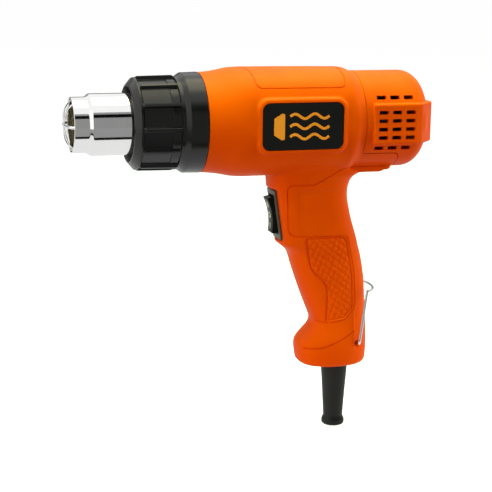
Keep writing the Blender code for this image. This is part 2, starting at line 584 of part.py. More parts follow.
def build():
    clear_scene()
    orange = material("orange_plastic", (0.90, 0.20, 0.01), 0.38)
    black = material("black_plastic", (0.018, 0.017, 0.016), 0.42)
    rubber = material("black_rubber", (0.030, 0.029, 0.026), 0.60)
    chrome = material("chrome", (0.86, 0.86, 0.87), 0.06, 1.0)
    steel = material("steel", (0.55, 0.55, 0.56), 0.35, 1.0)
    grey = material("grey_plastic", (0.20, 0.20, 0.20), 0.45)
    mica = material("mica", (0.62, 0.55, 0.42), 0.55)
    ceramic = material("ceramic", (0.85, 0.83, 0.78), 0.50)
    coil = material("resistance_wire", (0.42, 0.38, 0.34), 0.40, 1.0)
    board = material("circuit_board", (0.05, 0.22, 0.08), 0.50)
    yellow = material("capacitor_case", (0.75, 0.58, 0.10), 0.45)
    leads = [material(name, colour, 0.5) for name, colour in
             (("brown_lead", (0.16, 0.06, 0.03)), ("blue_lead", (0.04, 0.12, 0.45)),
              ("white_lead", (0.80, 0.80, 0.78)), ("red_lead", (0.55, 0.03, 0.02)))]
    make_housing(orange)
    make_rear_cover(orange)
    make_collar(black)
    make_nozzle(chrome)
    make_switch(grey, black)
    make_bail(chrome)
    make_strain_relief(rubber)
    make_badges(black)
    make_screws(steel)
    make_fan(black, steel, steel, grey, board)
    make_heater(mica, ceramic, coil, steel)
    make_handle_parts(grey, steel, board, yellow)
    make_leads(leads)


build()
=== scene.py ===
import math

import bmesh
import bpy
import numpy as np
from mathutils import Matrix, Vector
from mathutils.bvhtree import BVHTree


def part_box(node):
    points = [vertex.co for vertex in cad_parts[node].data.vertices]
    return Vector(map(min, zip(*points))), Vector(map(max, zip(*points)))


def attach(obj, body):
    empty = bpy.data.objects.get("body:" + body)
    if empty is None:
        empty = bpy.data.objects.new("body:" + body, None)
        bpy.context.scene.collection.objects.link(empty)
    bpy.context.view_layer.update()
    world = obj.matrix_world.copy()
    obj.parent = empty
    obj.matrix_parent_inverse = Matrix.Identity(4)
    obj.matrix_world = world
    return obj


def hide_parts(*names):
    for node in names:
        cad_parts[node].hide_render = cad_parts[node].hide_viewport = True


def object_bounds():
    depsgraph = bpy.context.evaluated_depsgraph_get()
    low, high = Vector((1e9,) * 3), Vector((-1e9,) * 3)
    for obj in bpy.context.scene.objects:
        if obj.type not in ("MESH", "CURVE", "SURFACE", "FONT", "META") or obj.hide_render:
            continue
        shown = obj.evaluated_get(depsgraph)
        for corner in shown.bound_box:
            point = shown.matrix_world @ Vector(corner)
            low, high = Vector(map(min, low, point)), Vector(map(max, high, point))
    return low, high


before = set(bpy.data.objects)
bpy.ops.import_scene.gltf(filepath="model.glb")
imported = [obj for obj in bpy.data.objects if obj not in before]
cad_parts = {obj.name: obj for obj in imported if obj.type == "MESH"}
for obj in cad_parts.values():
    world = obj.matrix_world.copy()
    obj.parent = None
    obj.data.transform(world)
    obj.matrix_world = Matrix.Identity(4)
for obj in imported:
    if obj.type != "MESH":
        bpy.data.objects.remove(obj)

CAD_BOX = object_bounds()

# Studio: a wide pale bench just under the tip of the cord sleeve, with a pale wall behind it. Both
# are evenly lit and kept out of reflections, where plain cards stand in for them.
FLOOR_DROP, STUDIO_REACH, WALL_AT, CARD_LIFT = 0.004, 30.0, 20.0, 0.0005
WHITE, WARM = (1.0, 1.0, 1.0), (1.0, 0.94, 0.74)
floor_z = CAD_BOX[0][2] - FLOOR_DROP


def plain_sheet(name, low, high, look):
    """A flat rectangle of the studio, lying level or standing."""
    mesh = bpy.data.meshes.new(name)
    if low[2] == high[2]:
        corners = [(low[0], low[1]), (high[0], low[1]), (high[0], high[1]), (low[0], high[1])]
        points = [(x, y, low[2]) for x, y in corners]
    else:
        points = [(low[0], low[1], low[2]), (high[0], high[1], low[2]),
                  (high[0], high[1], high[2]), (low[0], low[1], high[2])]
    mesh.from_pydata(points, [], [(0, 1, 2, 3)])
    made = bpy.data.objects.new(name, mesh)
    bpy.context.collection.objects.link(made)
    made.data.materials.append(look)
    return made


def studio_look(name, brightness, glow, tint=(1.0, 1.0, 1.0)):
    """Matt paint of a studio surface, with an even glow of its own."""
    made = bpy.data.materials.new(name)
    made.use_nodes = True
    shader = made.node_tree.nodes["Principled BSDF"]
    shader.inputs["Base Color"].default_value = (brightness, brightness, brightness, 1.0)
    shader.inputs["Roughness"].default_value = 0.9
    shader.inputs["Specular IOR Level"].default_value = 0.1
    if glow:
        shader.inputs["Emission Color"].default_value = (*[glow * part for part in tint], 1.0)
        shader.inputs["Emission Strength"].default_value = 1.0
    return made


for sheet in (
        plain_sheet("studio_floor", (-STUDIO_REACH, -STUDIO_REACH, floor_z),
                    (STUDIO_REACH, STUDIO_REACH, floor_z), studio_look("floor_paint", 0.55, 0.82)),
        plain_sheet("studio_wall", (-STUDIO_REACH, WALL_AT, floor_z),
                    (STUDIO_REACH, WALL_AT, STUDIO_REACH), studio_look("wall_paint", 0.0, 0.98))):
    sheet.visible_diffuse = False
    sheet.visible_glossy = False
# cards, as (name, low corner, high corner, glow, tint), which only the gun's gloss sees
for card_name, card_low, card_high, card_glow, card_tint in (
        ("white_top_card", (-3.0, -1.06, 1.3), (3.0, 3.0, 1.3), 1.0, WHITE),
        ("bright_strip_card", (-0.9, -0.20, 1.25), (0.7, 0.80, 1.25), 2.8, WARM),
        ("nozzle_side_card", (-1.3, -0.9, -0.2), (-1.3, 0.6, 0.9), 1.1, WHITE),
        ("white_floor_card", (-3.0, -0.18, floor_z + CARD_LIFT), (3.0, 2.0, floor_z + CARD_LIFT),
         0.85, WHITE),
        ("dark_floor_card", (-3.0, -0.25, floor_z + 2 * CARD_LIFT), (3.0, -0.18, floor_z + 2 * CARD_LIFT),
         0.0, WHITE),
        ("grey_floor_card", (-3.0, -3.0, floor_z + 3 * CARD_LIFT), (3.0, -0.25, floor_z + 3 * CARD_LIFT),
         0.30, WHITE),
        ("grey_card", (-3.0, -1.6, floor_z), (3.0, -1.6, 0.95), 0.28, WHITE),
        ("black_card", (-3.0, -1.6, 0.95), (3.0, -1.6, 1.5), 0.0, WHITE)):
    card_paint = studio_look(card_name + "_paint", 0.0, card_glow, card_tint)
    card = plain_sheet(card_name, card_low, card_high, card_paint)
    card.visible_camera = False
    card.visible_diffuse = False
    card.visible_shadow = False
    card.visible_transmission = False

# Camera: on the gun's left side, turned a little towards the nozzle, a little above the barrel and
# far enough off to keep the barrel's sides nearly level.
CAMERA_TURN, CAMERA_RISE, CAMERA_ROLL = -16.81, 11.94, 0.61
CAMERA_DISTANCE, CAMERA_LENS = 0.858, 95.08
CAMERA_TARGET = Vector((-0.1215, 0.0, -0.0826))
camera = bpy.data.objects.new("camera", bpy.data.cameras.new("camera"))
bpy.context.collection.objects.link(camera)
turn, rise = math.radians(CAMERA_TURN), math.radians(CAMERA_RISE)
back = Vector((math.sin(turn) * math.cos(rise), -math.cos(turn) * math.cos(rise), math.sin(rise)))
camera.location = CAMERA_TARGET + back * CAMERA_DISTANCE
level = back.to_track_quat("Z", "Y").to_matrix().to_4x4()
camera.matrix_world = (Matrix.Translation(camera.location) @ level
                       @ Matrix.Rotation(math.radians(CAMERA_ROLL), 4, "Z"))
camera.data.lens = CAMERA_LENS
camera.data.clip_end = 100.0
bpy.context.scene.camera = camera

# Lamps: a large softbox overhead, one off each end, a weak fill in front and the bench's bounce.
# Each is given as (name, place, aim, size, watts, colour); the world adds an even glow.
for lamp_name, lamp_at, lamp_aim, lamp_size, lamp_power, lamp_colour in (
        ("top_softbox", (-0.14, 0.02, 0.85), (-0.12, 0.0, 0.0), (1.2, 0.6), 28.5, (0.46, 1.0, 0.38)),
        ("nozzle_side_softbox", (-1.05, -0.30, 0.10), (-0.12, 0.0, -0.08), (0.5, 0.9), 6.0, (0.90, 1.0, 0.5)),
        ("rear_side_softbox", (0.75, -0.20, 0.10), (-0.10, 0.0, -0.08), (0.5, 0.9), 7.0, (0.85, 1.0, 0.5)),
        ("front_fill", (-0.45, -1.4, 0.35), (-0.12, 0.0, -0.08), (1.0, 0.8), 1.1, (1.0, 0.35, 0.4)),
        ("bench_bounce", (-0.12, -0.04, floor_z + 0.02), (-0.12, 0.0, -0.03), (0.9, 0.2), 0.30,
         (1.0, 0.9, 0.3))):
    lamp = bpy.data.objects.new(lamp_name, bpy.data.lights.new(lamp_name, "AREA"))
    lamp.data.shape = "RECTANGLE"
    lamp.data.size, lamp.data.size_y = lamp_size
    lamp.data.energy = lamp_power
    lamp.data.color = lamp_colour
    lamp.location = lamp_at
    aim = Vector(lamp_aim) - Vector(lamp_at)
    lamp.rotation_euler = aim.to_track_quat("-Z", "Y").to_euler()
    bpy.context.collection.objects.link(lamp)
    lamp.visible_camera = False
    lamp.visible_glossy = False

world = bpy.data.worlds.new("studio")
world.use_nodes = True
backdrop = world.node_tree.nodes["Background"]
backdrop.inputs["Color"].default_value = (*WHITE, 1.0)
backdrop.inputs["Strength"].default_value = 0.30
bpy.context.scene.world = world


# Heating element: three crossed mica plates carry a coil of heating wire inside a mica sleeve,
# with a ceramic cap behind them and a ceramic ring that the sleeve is held by.
METRES = 0.001           # metres in a millimetre; sizes below are in millimetres


class Value:
    """A value inside a material; arithmetic on it adds Math nodes, so a mask reads as a formula."""

    def __init__(self, look, socket):
        self.look = look
        self.socket = socket

    def math(self, operation, *operands):
        """A Math node on this and other Values or numbers."""
        return self.look.node("ShaderNodeMath", {"operation": operation}, dict(enumerate(operands)))

    def __add__(self, other):
        return self.math("ADD", self, other)

    __radd__ = __add__

    def __sub__(self, other):
        return self.math("SUBTRACT", self, other)

    def __rsub__(self, other):
        return self.math("SUBTRACT", other, self)

    def __mul__(self, other):
        return self.math("MULTIPLY", self, other)

    __rmul__ = __mul__

    def above(self, level, soft):
        """0 below level, 1 above it, over a soft step."""
        return self.look.node("ShaderNodeMapRange", {"interpolation_type": "SMOOTHSTEP"},
                              {"Value": self, "From Min": level - soft, "From Max": level + soft})


class Look:
    """A material and its one shader, whose sockets take plain values or Values."""

    def __init__(self, name, **plain):
        self.material = bpy.data.materials.new(name)
        self.material.use_nodes = True
        self.tree = self.material.node_tree
        self.shader = self.tree.nodes["Principled BSDF"]
        self.place = self.node("ShaderNodeTexCoord", output="Object")
        self.set(**plain)

    def node(self, kind, settings=None, sockets=None, output=0):
        """Any node: its settings first, then the numbers or Values of its sockets."""
        made = self.tree.nodes.new(kind)
        for key, value in (settings or {}).items():
            if key == "stops":
                for i, (at, colour) in enumerate(value):
                    stop = made.color_ramp.elements[i] if i < 2 else made.color_ramp.elements.new(at)
                    stop.position, stop.color = at, (*colour, 1.0)
            else:
                setattr(made, key, value)
        for key, value in (sockets or {}).items():
            if isinstance(value, Value):
                self.tree.links.new(value.socket, made.inputs[key])
            else:
                made.inputs[key].default_value = value
        return Value(self, made.outputs[output])

    def set(self, **sockets):
        """Feeds the shader's sockets, named with _ for a space."""
        for key, value in sockets.items():
            socket = self.shader.inputs[key.replace("_", " ")]
            if isinstance(value, Value):
                self.tree.links.new(value.socket, socket)
            elif isinstance(value, tuple) and len(value) == 3:
                socket.default_value = (*value, 1.0)
            else:
                socket.default_value = value

    def noise(self, per_mm, detail=3.0, stretch=(1, 1, 1), roughness=0.55):
        """Cloudy noise from 0 to 1, with its size given in cells per millimetre."""
        at = self.node("ShaderNodeMapping", None, {"Vector": self.place, "Scale": stretch})
        return self.node("ShaderNodeTexNoise", None, {"Vector": at, "Scale": per_mm / METRES,
                                                      "Detail": detail, "Roughness": roughness})

    def blend(self, amount, first, second):
        """Colour between two, by a Value."""
        sockets = {"Factor": amount, 6: (*first, 1.0) if isinstance(first, tuple) else first,
                   7: (*second, 1.0) if isinstance(second, tuple) else second}
        return self.node("ShaderNodeMix", {"data_type": "RGBA"}, sockets, 2)

    def bumps(self, *layers):
        """Normal from layers of (height Value, depth in mm)."""
        normal = None
        for height, depth in layers:
            sockets = {"Height": height, "Distance": depth * METRES, "Strength": 1.0}
            if normal is not None:
                sockets["Normal"] = normal
            normal = self.node("ShaderNodeBump", None, sockets)
        self.set(Normal=normal)


def moulded(name, light, dark, rough, grain=0.010, shine=0.3, tint=(1.0, 1.0, 1.0)):
    """Injection-moulded plastic: faint flow clouds, spark-eroded grain, and handling haze."""
    look = Look(name, Specular_IOR_Level=shine, Specular_Tint=tint)
    flow = look.noise(0.03, 2.0)
    haze = look.noise(0.16, 4.0)
    fine = look.noise(2.6, 2.0)
    look.set(Base_Color=look.blend(flow.above(0.5, 0.2), dark, light),
             Roughness=rough + (haze - 0.5) * 0.14 + (fine - 0.5) * 0.06)
    look.bumps((fine, grain), (look.noise(0.45, 2.0), grain * 1.6))
    return look


def bare_metal(name, colour, rough, brushed=(1, 1, 1), depth=0.004):
    """Metal with a directional grain and slightly uneven tone."""
    look = Look(name, Metallic=1.0)
    grain = look.noise(0.9, 3.0, brushed)
    cloud = look.noise(0.08, 3.0)
    dull = tuple(c * 0.86 for c in colour)
    look.set(Base_Color=look.blend(cloud, dull, colour), Roughness=rough + (grain - 0.5) * 0.16)
    look.bumps((grain, depth))
    return look


def mica_look():
    """Pressed mica: pale tan flakes in a darker binder, with a pearly sheen."""
    look = Look("mica_sheet", Specular_IOR_Level=0.6)
    flakes = look.node("ShaderNodeTexVoronoi", {"feature": "F1"}, {"Vector": look.place, "Scale": 700.0})
    tone = look.node("ShaderNodeValToRGB", {"stops": [(0.1, (0.66, 0.57, 0.40)), (0.8, (0.36, 0.28, 0.17))]},
                     {0: flakes})
    look.set(Base_Color=tone, Roughness=0.36 + 0.3 * look.noise(0.8))
    look.bumps((flakes, 0.02))
    return look


def ceramic_look():
    """Unglazed steatite, chalky white with fine speckle."""
    look = Look("steatite")
    speckle = look.noise(1.4, 5.0, roughness=0.8)
    look.set(Base_Color=look.blend(speckle.above(0.62, 0.05), (0.84, 0.81, 0.74), (0.62, 0.57, 0.49)),
             Roughness=0.62 + 0.2 * look.noise(0.4))
    look.bumps((speckle, 0.02))
    return look


def paint_node(name, look):
    """Gives a solid of the frame a better surface."""
    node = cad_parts[name]
    if not node.material_slots:
        node.data.materials.append(look.material)
    for slot in node.material_slots:
        slot.material = look.material


mica = mica_look()
steatite = ceramic_look()
for node_name, node_look in (("heater_core", mica), ("heater_sleeve", mica), ("heater_ring", steatite),
                             ("heater_cap", steatite)):
    paint_node(node_name, node_look)
oxide = bare_metal("oxidised_heating_wire", (0.40, 0.34, 0.29), 0.42)


def box_mm(name):
    """Lowest and highest corner of a frame node, in millimetres."""
    low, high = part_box(name)
    return Vector(low) / METRES, Vector(high) / METRES


def solid(bm):
    """A working object from a bmesh, in millimetres, with its faces pointing out."""
    bmesh.ops.recalc_face_normals(bm, faces=bm.faces)
    mesh = bpy.data.meshes.new("work")
    bm.to_mesh(mesh)
    bm.free()
    made = bpy.data.objects.new("work", mesh)
    bpy.context.collection.objects.link(made)
    return made


def spokes(count, shift=0):
    """Even angles round a full turn."""
    return [math.tau * (k + shift) / count for k in range(count)]


def skin(rings, loop=False):
    """Joins rings of points; the ends are capped unless the rings close into a loop."""
    bm = bmesh.new()
    rows = [[bm.verts.new(point) for point in ring] for ring in rings]
    pairs = list(zip(rows, rows[1:] + rows[:1]))
    for one, two in pairs if loop else pairs[:-1]:
        for i in range(len(one)):
            j = (i + 1) % len(one)
            bm.faces.new((one[i], one[j], two[j], two[i]))
    if not loop:
        bm.faces.new(rows[0])
        bm.faces.new(rows[-1])
    return solid(bm)


def wire(points, radius, sides=12, loop=False):
    """Round wire along a path, its rings turned with the path without twisting."""
    points = [Vector(point) for point in points]
    last = len(points) - 1
    ahead = (points[1] - (points[last] if loop else points[0])).normalized()
    side = first = ahead.orthogonal().normalized()
    frames = []
    for i, point in enumerate(points):
        after = points[(i + 1) % len(points)] if loop else points[min(i + 1, last)]
        now = (after - points[i - 1 if i or loop else 0]).normalized()
        side = (ahead.rotation_difference(now) @ side).normalized()
        ahead = now
        frames.append((point, side, now.cross(side)))
    excess = 0.0
    if loop:
        home = ahead.rotation_difference((points[1] - points[last]).normalized()) @ side
        excess = math.atan2(home.dot(frames[0][2]), home.dot(first))
    rings = []
    for i, (point, across, up) in enumerate(frames):
        angles = [t - excess * i / len(points) for t in spokes(sides)]
        rings.append([point + radius * (math.cos(t) * across + math.sin(t) * up) for t in angles])
    return skin(rings, loop)


def finish(name, made, look, body, *nodes, slot=None, sharp=35):
    """Names a finished piece, brings it to metres, and lets it ride and stand for its nodes."""
    made.data.transform(Matrix.Scale(METRES, 4))
    made.name = name
    made.data.name = name
    made.data.materials.clear()
    made.data.materials.append(look.material)
    made.data.shade_smooth()
    made.data.set_sharp_from_angle(angle=math.radians(sharp))
    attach(made, body)
    if nodes:
        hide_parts(*nodes)
    return made


coil_low, coil_high = box_mm("heater_coil")
COIL_WIRE, COIL_END = 0.45, 0.7
coil_radius = (coil_high.z - coil_low.z) / 2 - 0.5
coil_turns, coil_steps = 14, 28
coil_path = []
for i in range(coil_turns * coil_steps + 1):
    turn = math.tau * i / coil_steps
    along = coil_low.x + COIL_END + (coil_high.x - coil_low.x - 2 * COIL_END) * i / (coil_turns * coil_steps)
    coil_path.append((along, coil_radius * math.cos(turn), coil_radius * math.sin(turn)))
finish("heating_coil", wire(coil_path, COIL_WIRE, 8), oxide, "gun_body", "heater_coil",
       slot="resistance_wire")


# Fan and motor: a moulded impeller on the shaft of a small direct-current motor, which is held
# in a spoked frame across the barrel, with its rectifier board on the tail.
fan_black = moulded("impeller_nylon", (0.030, 0.030, 0.032), (0.018, 0.018, 0.020), 0.46)
zinc = bare_metal("zinc_plate", (0.66, 0.67, 0.69), 0.30, (1, 1, 6))
shaft_steel = bare_metal("ground_shaft", (0.60, 0.60, 0.61), 0.18, (0.2, 4, 4))
frame_grey = moulded("frame_nylon", (0.15, 0.15, 0.155), (0.11, 0.11, 0.115), 0.50)
# the motor can's steel is painted darker than it is, as painted shade inside the housing seen through the
# cover's vents
painted_shade_can_steel = bare_metal("painted_shade_steel", (0.15, 0.15, 0.155), 0.45)
for node_name, node_look in (("fan_impeller", fan_black), ("motor_can", painted_shade_can_steel),
                             ("motor_shaft", shaft_steel), ("motor_frame", frame_grey)):
    paint_node(node_name, node_look)


def board_look():
    """Glass-fibre laminate: green lacquer over copper tracks on a square grid."""
    look = Look("laminate_board", Coat_Roughness=0.15, IOR=1.5)
    tracks = look.node("ShaderNodeTexBrick", {"offset": 0.5},
                       {"Vector": look.place, "Scale": 190.0, "Color1": (0.02, 0.13, 0.05, 1),
                        "Color2": (0.03, 0.17, 0.06, 1), "Mortar": (0.09, 0.30, 0.12, 1),
                        "Mortar Size": 0.035})
    look.set(Base_Color=tracks, Roughness=0.30 + 0.2 * look.noise(0.6))
    look.bumps((look.noise(1.5), 0.01))
    return look


laminate = board_look()
paint_node("motor_board", laminate)


# Inside the grip: control board, suppression capacitor, terminal block, the clamp that holds the
# cord's end with its two screws, and the thermal cut-out behind the heater.
paint_node("control_board", laminate)
paint_node("capacitor", moulded("capacitor_box", (0.78, 0.60, 0.10), (0.68, 0.50, 0.07), 0.36))
for node_name in ("terminal_block", "cord_clamp"):
    paint_node(node_name, frame_grey)
for node_name in ("clamp_screw_1", "clamp_screw_2", "thermal_cutout", "cover_screw"):
    paint_node(node_name, zinc)


# Leads: stranded copper in coloured silicone or vinyl sleeves, slightly waxy, run from the cord's
# end through the switch and the boards to the heater and the motor.
def sleeve_look(name, colour):
    """A lead's sleeve: soft colour under a patchy waxy bloom."""
    look = Look(name, IOR=1.45)
    wax = look.noise(0.5, 3.0)
    darker = tuple(c * 0.75 for c in colour)
    look.set(Base_Color=look.blend(wax, darker, colour), Roughness=0.38 + 0.2 * wax)
    look.bumps((look.noise(1.2, 2.0), 0.02))
    return look


for node_name, colour in (("lead_supply", (0.17, 0.07, 0.03)), ("lead_neutral", (0.04, 0.13, 0.48)),
                          ("lead_heater", (0.80, 0.80, 0.77)), ("lead_motor", (0.58, 0.03, 0.02))):
    paint_node(node_name, sleeve_look(node_name + "_sleeve", colour))


# Clamshell housing: two moulded nylon halves, screwed together on the middle plane. They make the
# barrel with its neck for the collar, the grip, the flared base, and a tongue under the rear cover.
VOXEL = 0.62
WAIST_SOFT = 16
SHELL, COLLAR_GAP, PARTING_GAP = 2.4, 0.3, 0.35
neck_front = box_mm("housing_left")[0].x
cover_front = box_mm("rear_cover")[0].x
barrel_front = box_mm("front_collar")[1].x + COLLAR_GAP
parting = cover_front - PARTING_GAP
# the barrel's outline, as (x, half height, squareness of its section)
BARREL = [
    (barrel_front - 4, 31.9, 2.0), (barrel_front, 32.0, 2.0), (-150.0, 32.3, 2.0), (-143.0, 33.2, 2.1),
    (-133.5, 34.8, 2.3), (-127.0, 35.0, 2.5), (-61.0, 34.5, 2.5), (-57.5, 34.0, 2.3),
    (-53.8, 32.15, 2.05), (parting, 31.8, 2.0), (-20.0, 31.8, 2.0),
]
# the grip's outline from the barrel down, as (z, front x, rear x, half width, squareness)
GRIP = [
    (-14.0, -108.0, -54.0, 22.0, 2.6), (-28.0, -107.6, -52.0, 22.4, 2.6), (-33.0, -107.4, -46.5, 22.2, 2.6),
    (-34.6, -107.4, -45.8, 21.9, 2.6), (-35.8, -107.3, -48.4, 21.7, 2.6), (-37.6, -107.2, -50.5, 21.4, 2.6),
    (-40.5, -107.0, -52.2, 21.1, 2.6), (-44.0, -106.7, -53.1, 20.8, 2.6), (-48.0, -106.3, -53.4, 20.6, 2.6),
    (-60.0, -104.4, -51.4, 20.0, 2.6), (-78.0, -101.2, -46.0, 19.6, 2.6), (-81.0, -100.0, -45.1, 19.5, 2.6),
    (-84.0, -96.2, -44.4, 19.4, 2.5), (-88.0, -92.4, -43.2, 19.2, 2.5), (-97.0, -89.6, -41.0, 19.0, 2.4),
    (-110.0, -85.0, -39.1, 18.6, 2.4), (-124.0, -79.6, -38.3, 18.2, 2.4), (-132.0, -76.2, -37.6, 18.1, 2.4),
    (-135.5, -75.2, -37.3, 18.3, 2.4), (-139.0, -76.2, -37.2, 18.8, 2.4), (-145.0, -81.4, -37.0, 20.0, 2.4),
    (-149.5, -85.2, -36.9, 20.5, 2.4), (-152.5, -86.0, -36.8, 20.6, 2.4), (-163.0, -84.6, -37.4, 19.7, 2.4),
    (-165.0, -82.6, -39.0, 18.0, 2.4), (-165.7, -79.0, -42.0, 15.5, 2.3),
]


def flow(stations, step):
    """Stations closer together, each column running smoothly through the given ones."""
    table = np.array(stations, float)
    at, values = table[:, 0], table[:, 1:]
    width = np.diff(at)[:, None]
    slope = np.diff(values, axis=0) / width
    tangent = np.zeros_like(values)
    same = slope[1:] * slope[:-1] > 0
    mean = 2 * slope[1:] * slope[:-1] / np.where(same, slope[1:] + slope[:-1], 1)
    tangent[1:-1] = np.where(same, mean, 0)
    tangent[0], tangent[-1] = slope[0], slope[-1]
    rows = []
    for i in range(len(at) - 1):
        count = max(1, round(abs(at[i + 1] - at[i]) / step))
        for k in range(count):
            t = k / count
            h = width[i]
            row = ((2 * t ** 3 - 3 * t ** 2 + 1) * values[i] + (t ** 3 - 2 * t ** 2 + t) * h * tangent[i]
                   + (3 * t ** 2 - 2 * t ** 3) * values[i + 1] + (t ** 3 - t ** 2) * h * tangent[i + 1])
            rows.append((at[i] + t * width[i, 0], *row))
    return rows + [tuple(table[-1])]


def oval(half_a, half_b, squareness, sides):
    """Points of a superellipse, which is a plain ellipse at squareness 2."""
    power = 2 / squareness
    return [(half_a * math.copysign(abs(math.cos(t)) ** power, math.cos(t)),
             half_b * math.copysign(abs(math.sin(t)) ** power, math.sin(t))) for t in spokes(sides, 0.5)]


def barrel(inset, front, rear, step=2.0, sides=120):
    """The barrel between two places along it, made smaller by inset."""
    rows = [row for row in flow(BARREL, step) if front < row[0] < rear]
    rows = [(front, *rows[0][1:])] + rows + [(rear, *rows[-1][1:])]
    return skin([[(x, y, z) for y, z in oval(r - inset, r - inset, n, sides)] for x, r, n in rows])


def grip(inset, low, step=1.5, sides=96):
    """The grip and its base, made smaller by inset and then ending at low."""
    rows = [row for row in flow(GRIP, step) if row[0] > low or not inset]
    rings = []
    for z, front, rear, width, n in rows:
        middle, half = (front + rear) / 2, (rear - front) / 2
        rings.append([(middle + x, y, z) for x, y in oval(half - inset, width - inset, n, sides)])
    return skin(rings)


def combine(operation, target, *tools):
    """Boolean of one solid with others, which are used up."""
    for tool in tools:
        step = target.modifiers.new(operation, "BOOLEAN")
        step.operation = operation
        step.object = tool
        step.solver = "MANIFOLD"
    return settle(target, *tools)


def settle(target, *used):
    """Applies a working object's modifiers and removes what they used."""
    view = bpy.context.evaluated_depsgraph_get()
    mesh = bpy.data.meshes.new_from_object(target.evaluated_get(view))
    target.modifiers.clear()
    target.data = mesh
    for tool in used:
        bpy.data.objects.remove(tool)
    return target


def copy(original):
    """A second working object with the same mesh."""
    made = original.copy()
    made.data = original.data.copy()
    bpy.context.collection.objects.link(made)
    return made


def join(*targets):
    """Several separate solids as one tool."""
    bm = bmesh.new()
    for part in targets:
        bm.from_mesh(part.data)
        bpy.data.objects.remove(part)
    return solid(bm)


def melt(target, voxel, passes):
    """Runs the joins of a solid into each other, as in a mould cut with round tools."""
    remesh = target.modifiers.new("melt", "REMESH")
    remesh.mode = "VOXEL"
    remesh.voxel_size = voxel
    relax = target.modifiers.new("relax", "SMOOTH")
    relax.factor = 0.5
    relax.iterations = passes
    return settle(target)


def bar(start, end, radius, sides=24):
    """Cylinder between two points, or a cone with two radii."""
    start, end = Vector(start), Vector(end)
    radii = radius if isinstance(radius, tuple) else (radius, radius)
    aim = (end - start).to_track_quat("Z", "Y")
    return skin([[centre + aim @ Vector((r * math.cos(t), r * math.sin(t), 0)) for t in spokes(sides, 0.5)]
                 for centre, r in zip((start, end), radii)])


def block(low, high):
    """Plain block between two corners."""
    corners = [(low[0], low[1]), (high[0], low[1]), (high[0], high[1]), (low[0], high[1])]
    return skin([[(x, y, z) for x, y in corners] for z in (low[2], high[2])])


def slab(outline, y_low, y_high):
    """An outline of (x, z) given thickness along Y."""
    return skin([[(x, y, z) for x, z in outline] for y in (y_low, y_high)])


def eased(corners, steps=6):
    """Outline through corners of (a, b, radius), each rounded with an arc."""
    points = []
    for i, (a, b, radius) in enumerate(corners):
        here = Vector((a, b))
        before = Vector(corners[i - 1][:2])
        after = Vector(corners[(i + 1) % len(corners)][:2])
        if radius <= 0:
            points.append(tuple(here))
            continue
        one, two = (before - here).normalized(), (after - here).normalized()
        half = one.angle(two) / 2
        reach = min(radius / math.tan(half), (before - here).length * 0.49, (after - here).length * 0.49)
        radius = reach * math.tan(half)
        centre = here + (one + two).normalized() * radius / math.sin(half)
        first, last = here + one * reach - centre, here + two * reach - centre
        sweep = first.angle_signed(last)
        for k in range(steps + 1):
            c, s = math.cos(-sweep * k / steps), math.sin(-sweep * k / steps)
            points.append((centre.x + first.x * c - first.y * s, centre.y + first.x * s + first.y * c))
    return points


def plate_outline(x_low, z_low, x_high, z_high, radius, steps=8):
    """Rectangle of (x, z) with round corners."""
    corners = [(x_low, z_low), (x_high, z_low), (x_high, z_high), (x_low, z_high)]
    return eased([(x, z, radius) for x, z in corners], steps)


def pillow(outline, y_face, y_deep, edge):
    """A pad standing to y_face with its rim rounded over."""
    middle = Vector(np.mean(outline, axis=0))
    rings = [[(x, y_deep, z) for x, z in outline]]
    for k in range(5):
        t = math.pi / 2 * k / 4
        shrink = edge * (1 - math.cos(t))
        y = y_face - math.copysign(edge * (1 - math.sin(t)), y_face)
        ring = []
        for x, z in outline:
            out = Vector((x, z)) - middle
            ring.append((x - math.copysign(min(shrink, abs(out.x)), out.x), y,
                         z - math.copysign(min(shrink, abs(out.y)), out.y)))
        rings.append(ring)
    return skin(rings)


badge_low, badge_high = box_mm("badge_left")
PAD_RIM, PAD_FACE, PAD_EDGE = 2.9, 35.85, 1.6
SWITCH_AT = Vector((-101.0, 0.0, -61.5))
SWITCH_LEAN = math.radians(-8.5)


def on_switch(made):
    """Moves a solid from the switch's own frame, where -X faces the finger, to the grip."""
    made.data.transform(Matrix.Translation(SWITCH_AT) @ Matrix.Rotation(SWITCH_LEAN, 4, "Y"))
    return made


def bevelled(made, width, segments=2, angle=30):
    """Rounds a solid's edges, in millimetres."""
    step = made.modifiers.new("bevel", "BEVEL")
    step.width, step.segments = width, segments
    step.limit_method, step.angle_limit = "ANGLE", math.radians(angle)
    return settle(made)


body = combine("UNION", barrel(0, barrel_front - 3, -19.0), grip(0, -200))
TONGUE_HALF, BOSS_HALF = 13.2, 14.2
tongue_side = eased([(-62, -28, 0), (-62, -34.3, 0), (-30.5, -34.3, 4.0), (-27.0, -26.0, 0)])
tongue = bevelled(slab(tongue_side, -TONGUE_HALF, TONGUE_HALF), 1.6, 4)
boss = bevelled(bar((-28.6, -BOSS_HALF, -30.0), (-28.6, BOSS_HALF, -30.0), 2.9), 1.0, 4)
pad_outline = plate_outline(badge_low.x - PAD_RIM, badge_low.z - PAD_RIM, badge_high.x + PAD_RIM,
                            badge_high.z + PAD_RIM, 7.0)
pads = [pillow(pad_outline, side * PAD_FACE, side * 20, PAD_EDGE) for side in (-1, 1)]
switch_flat = on_switch(block((-14, -30, -17.6), (0, 30, 17.6)))
body = combine("UNION", body, tongue, boss, *pads)
body = combine("DIFFERENCE", body, switch_flat)
body = melt(body, VOXEL, WAIST_SOFT)


def inside(path, x, z):
    """Whether a point lies inside a closed path."""
    hit = False
    for (xa, za), (xb, zb) in zip(path, path[1:] + path[:1]):
        if (za > z) != (zb > z) and x < xa + (z - za) * (xb - xa) / (zb - za):
            hit = not hit
    return hit


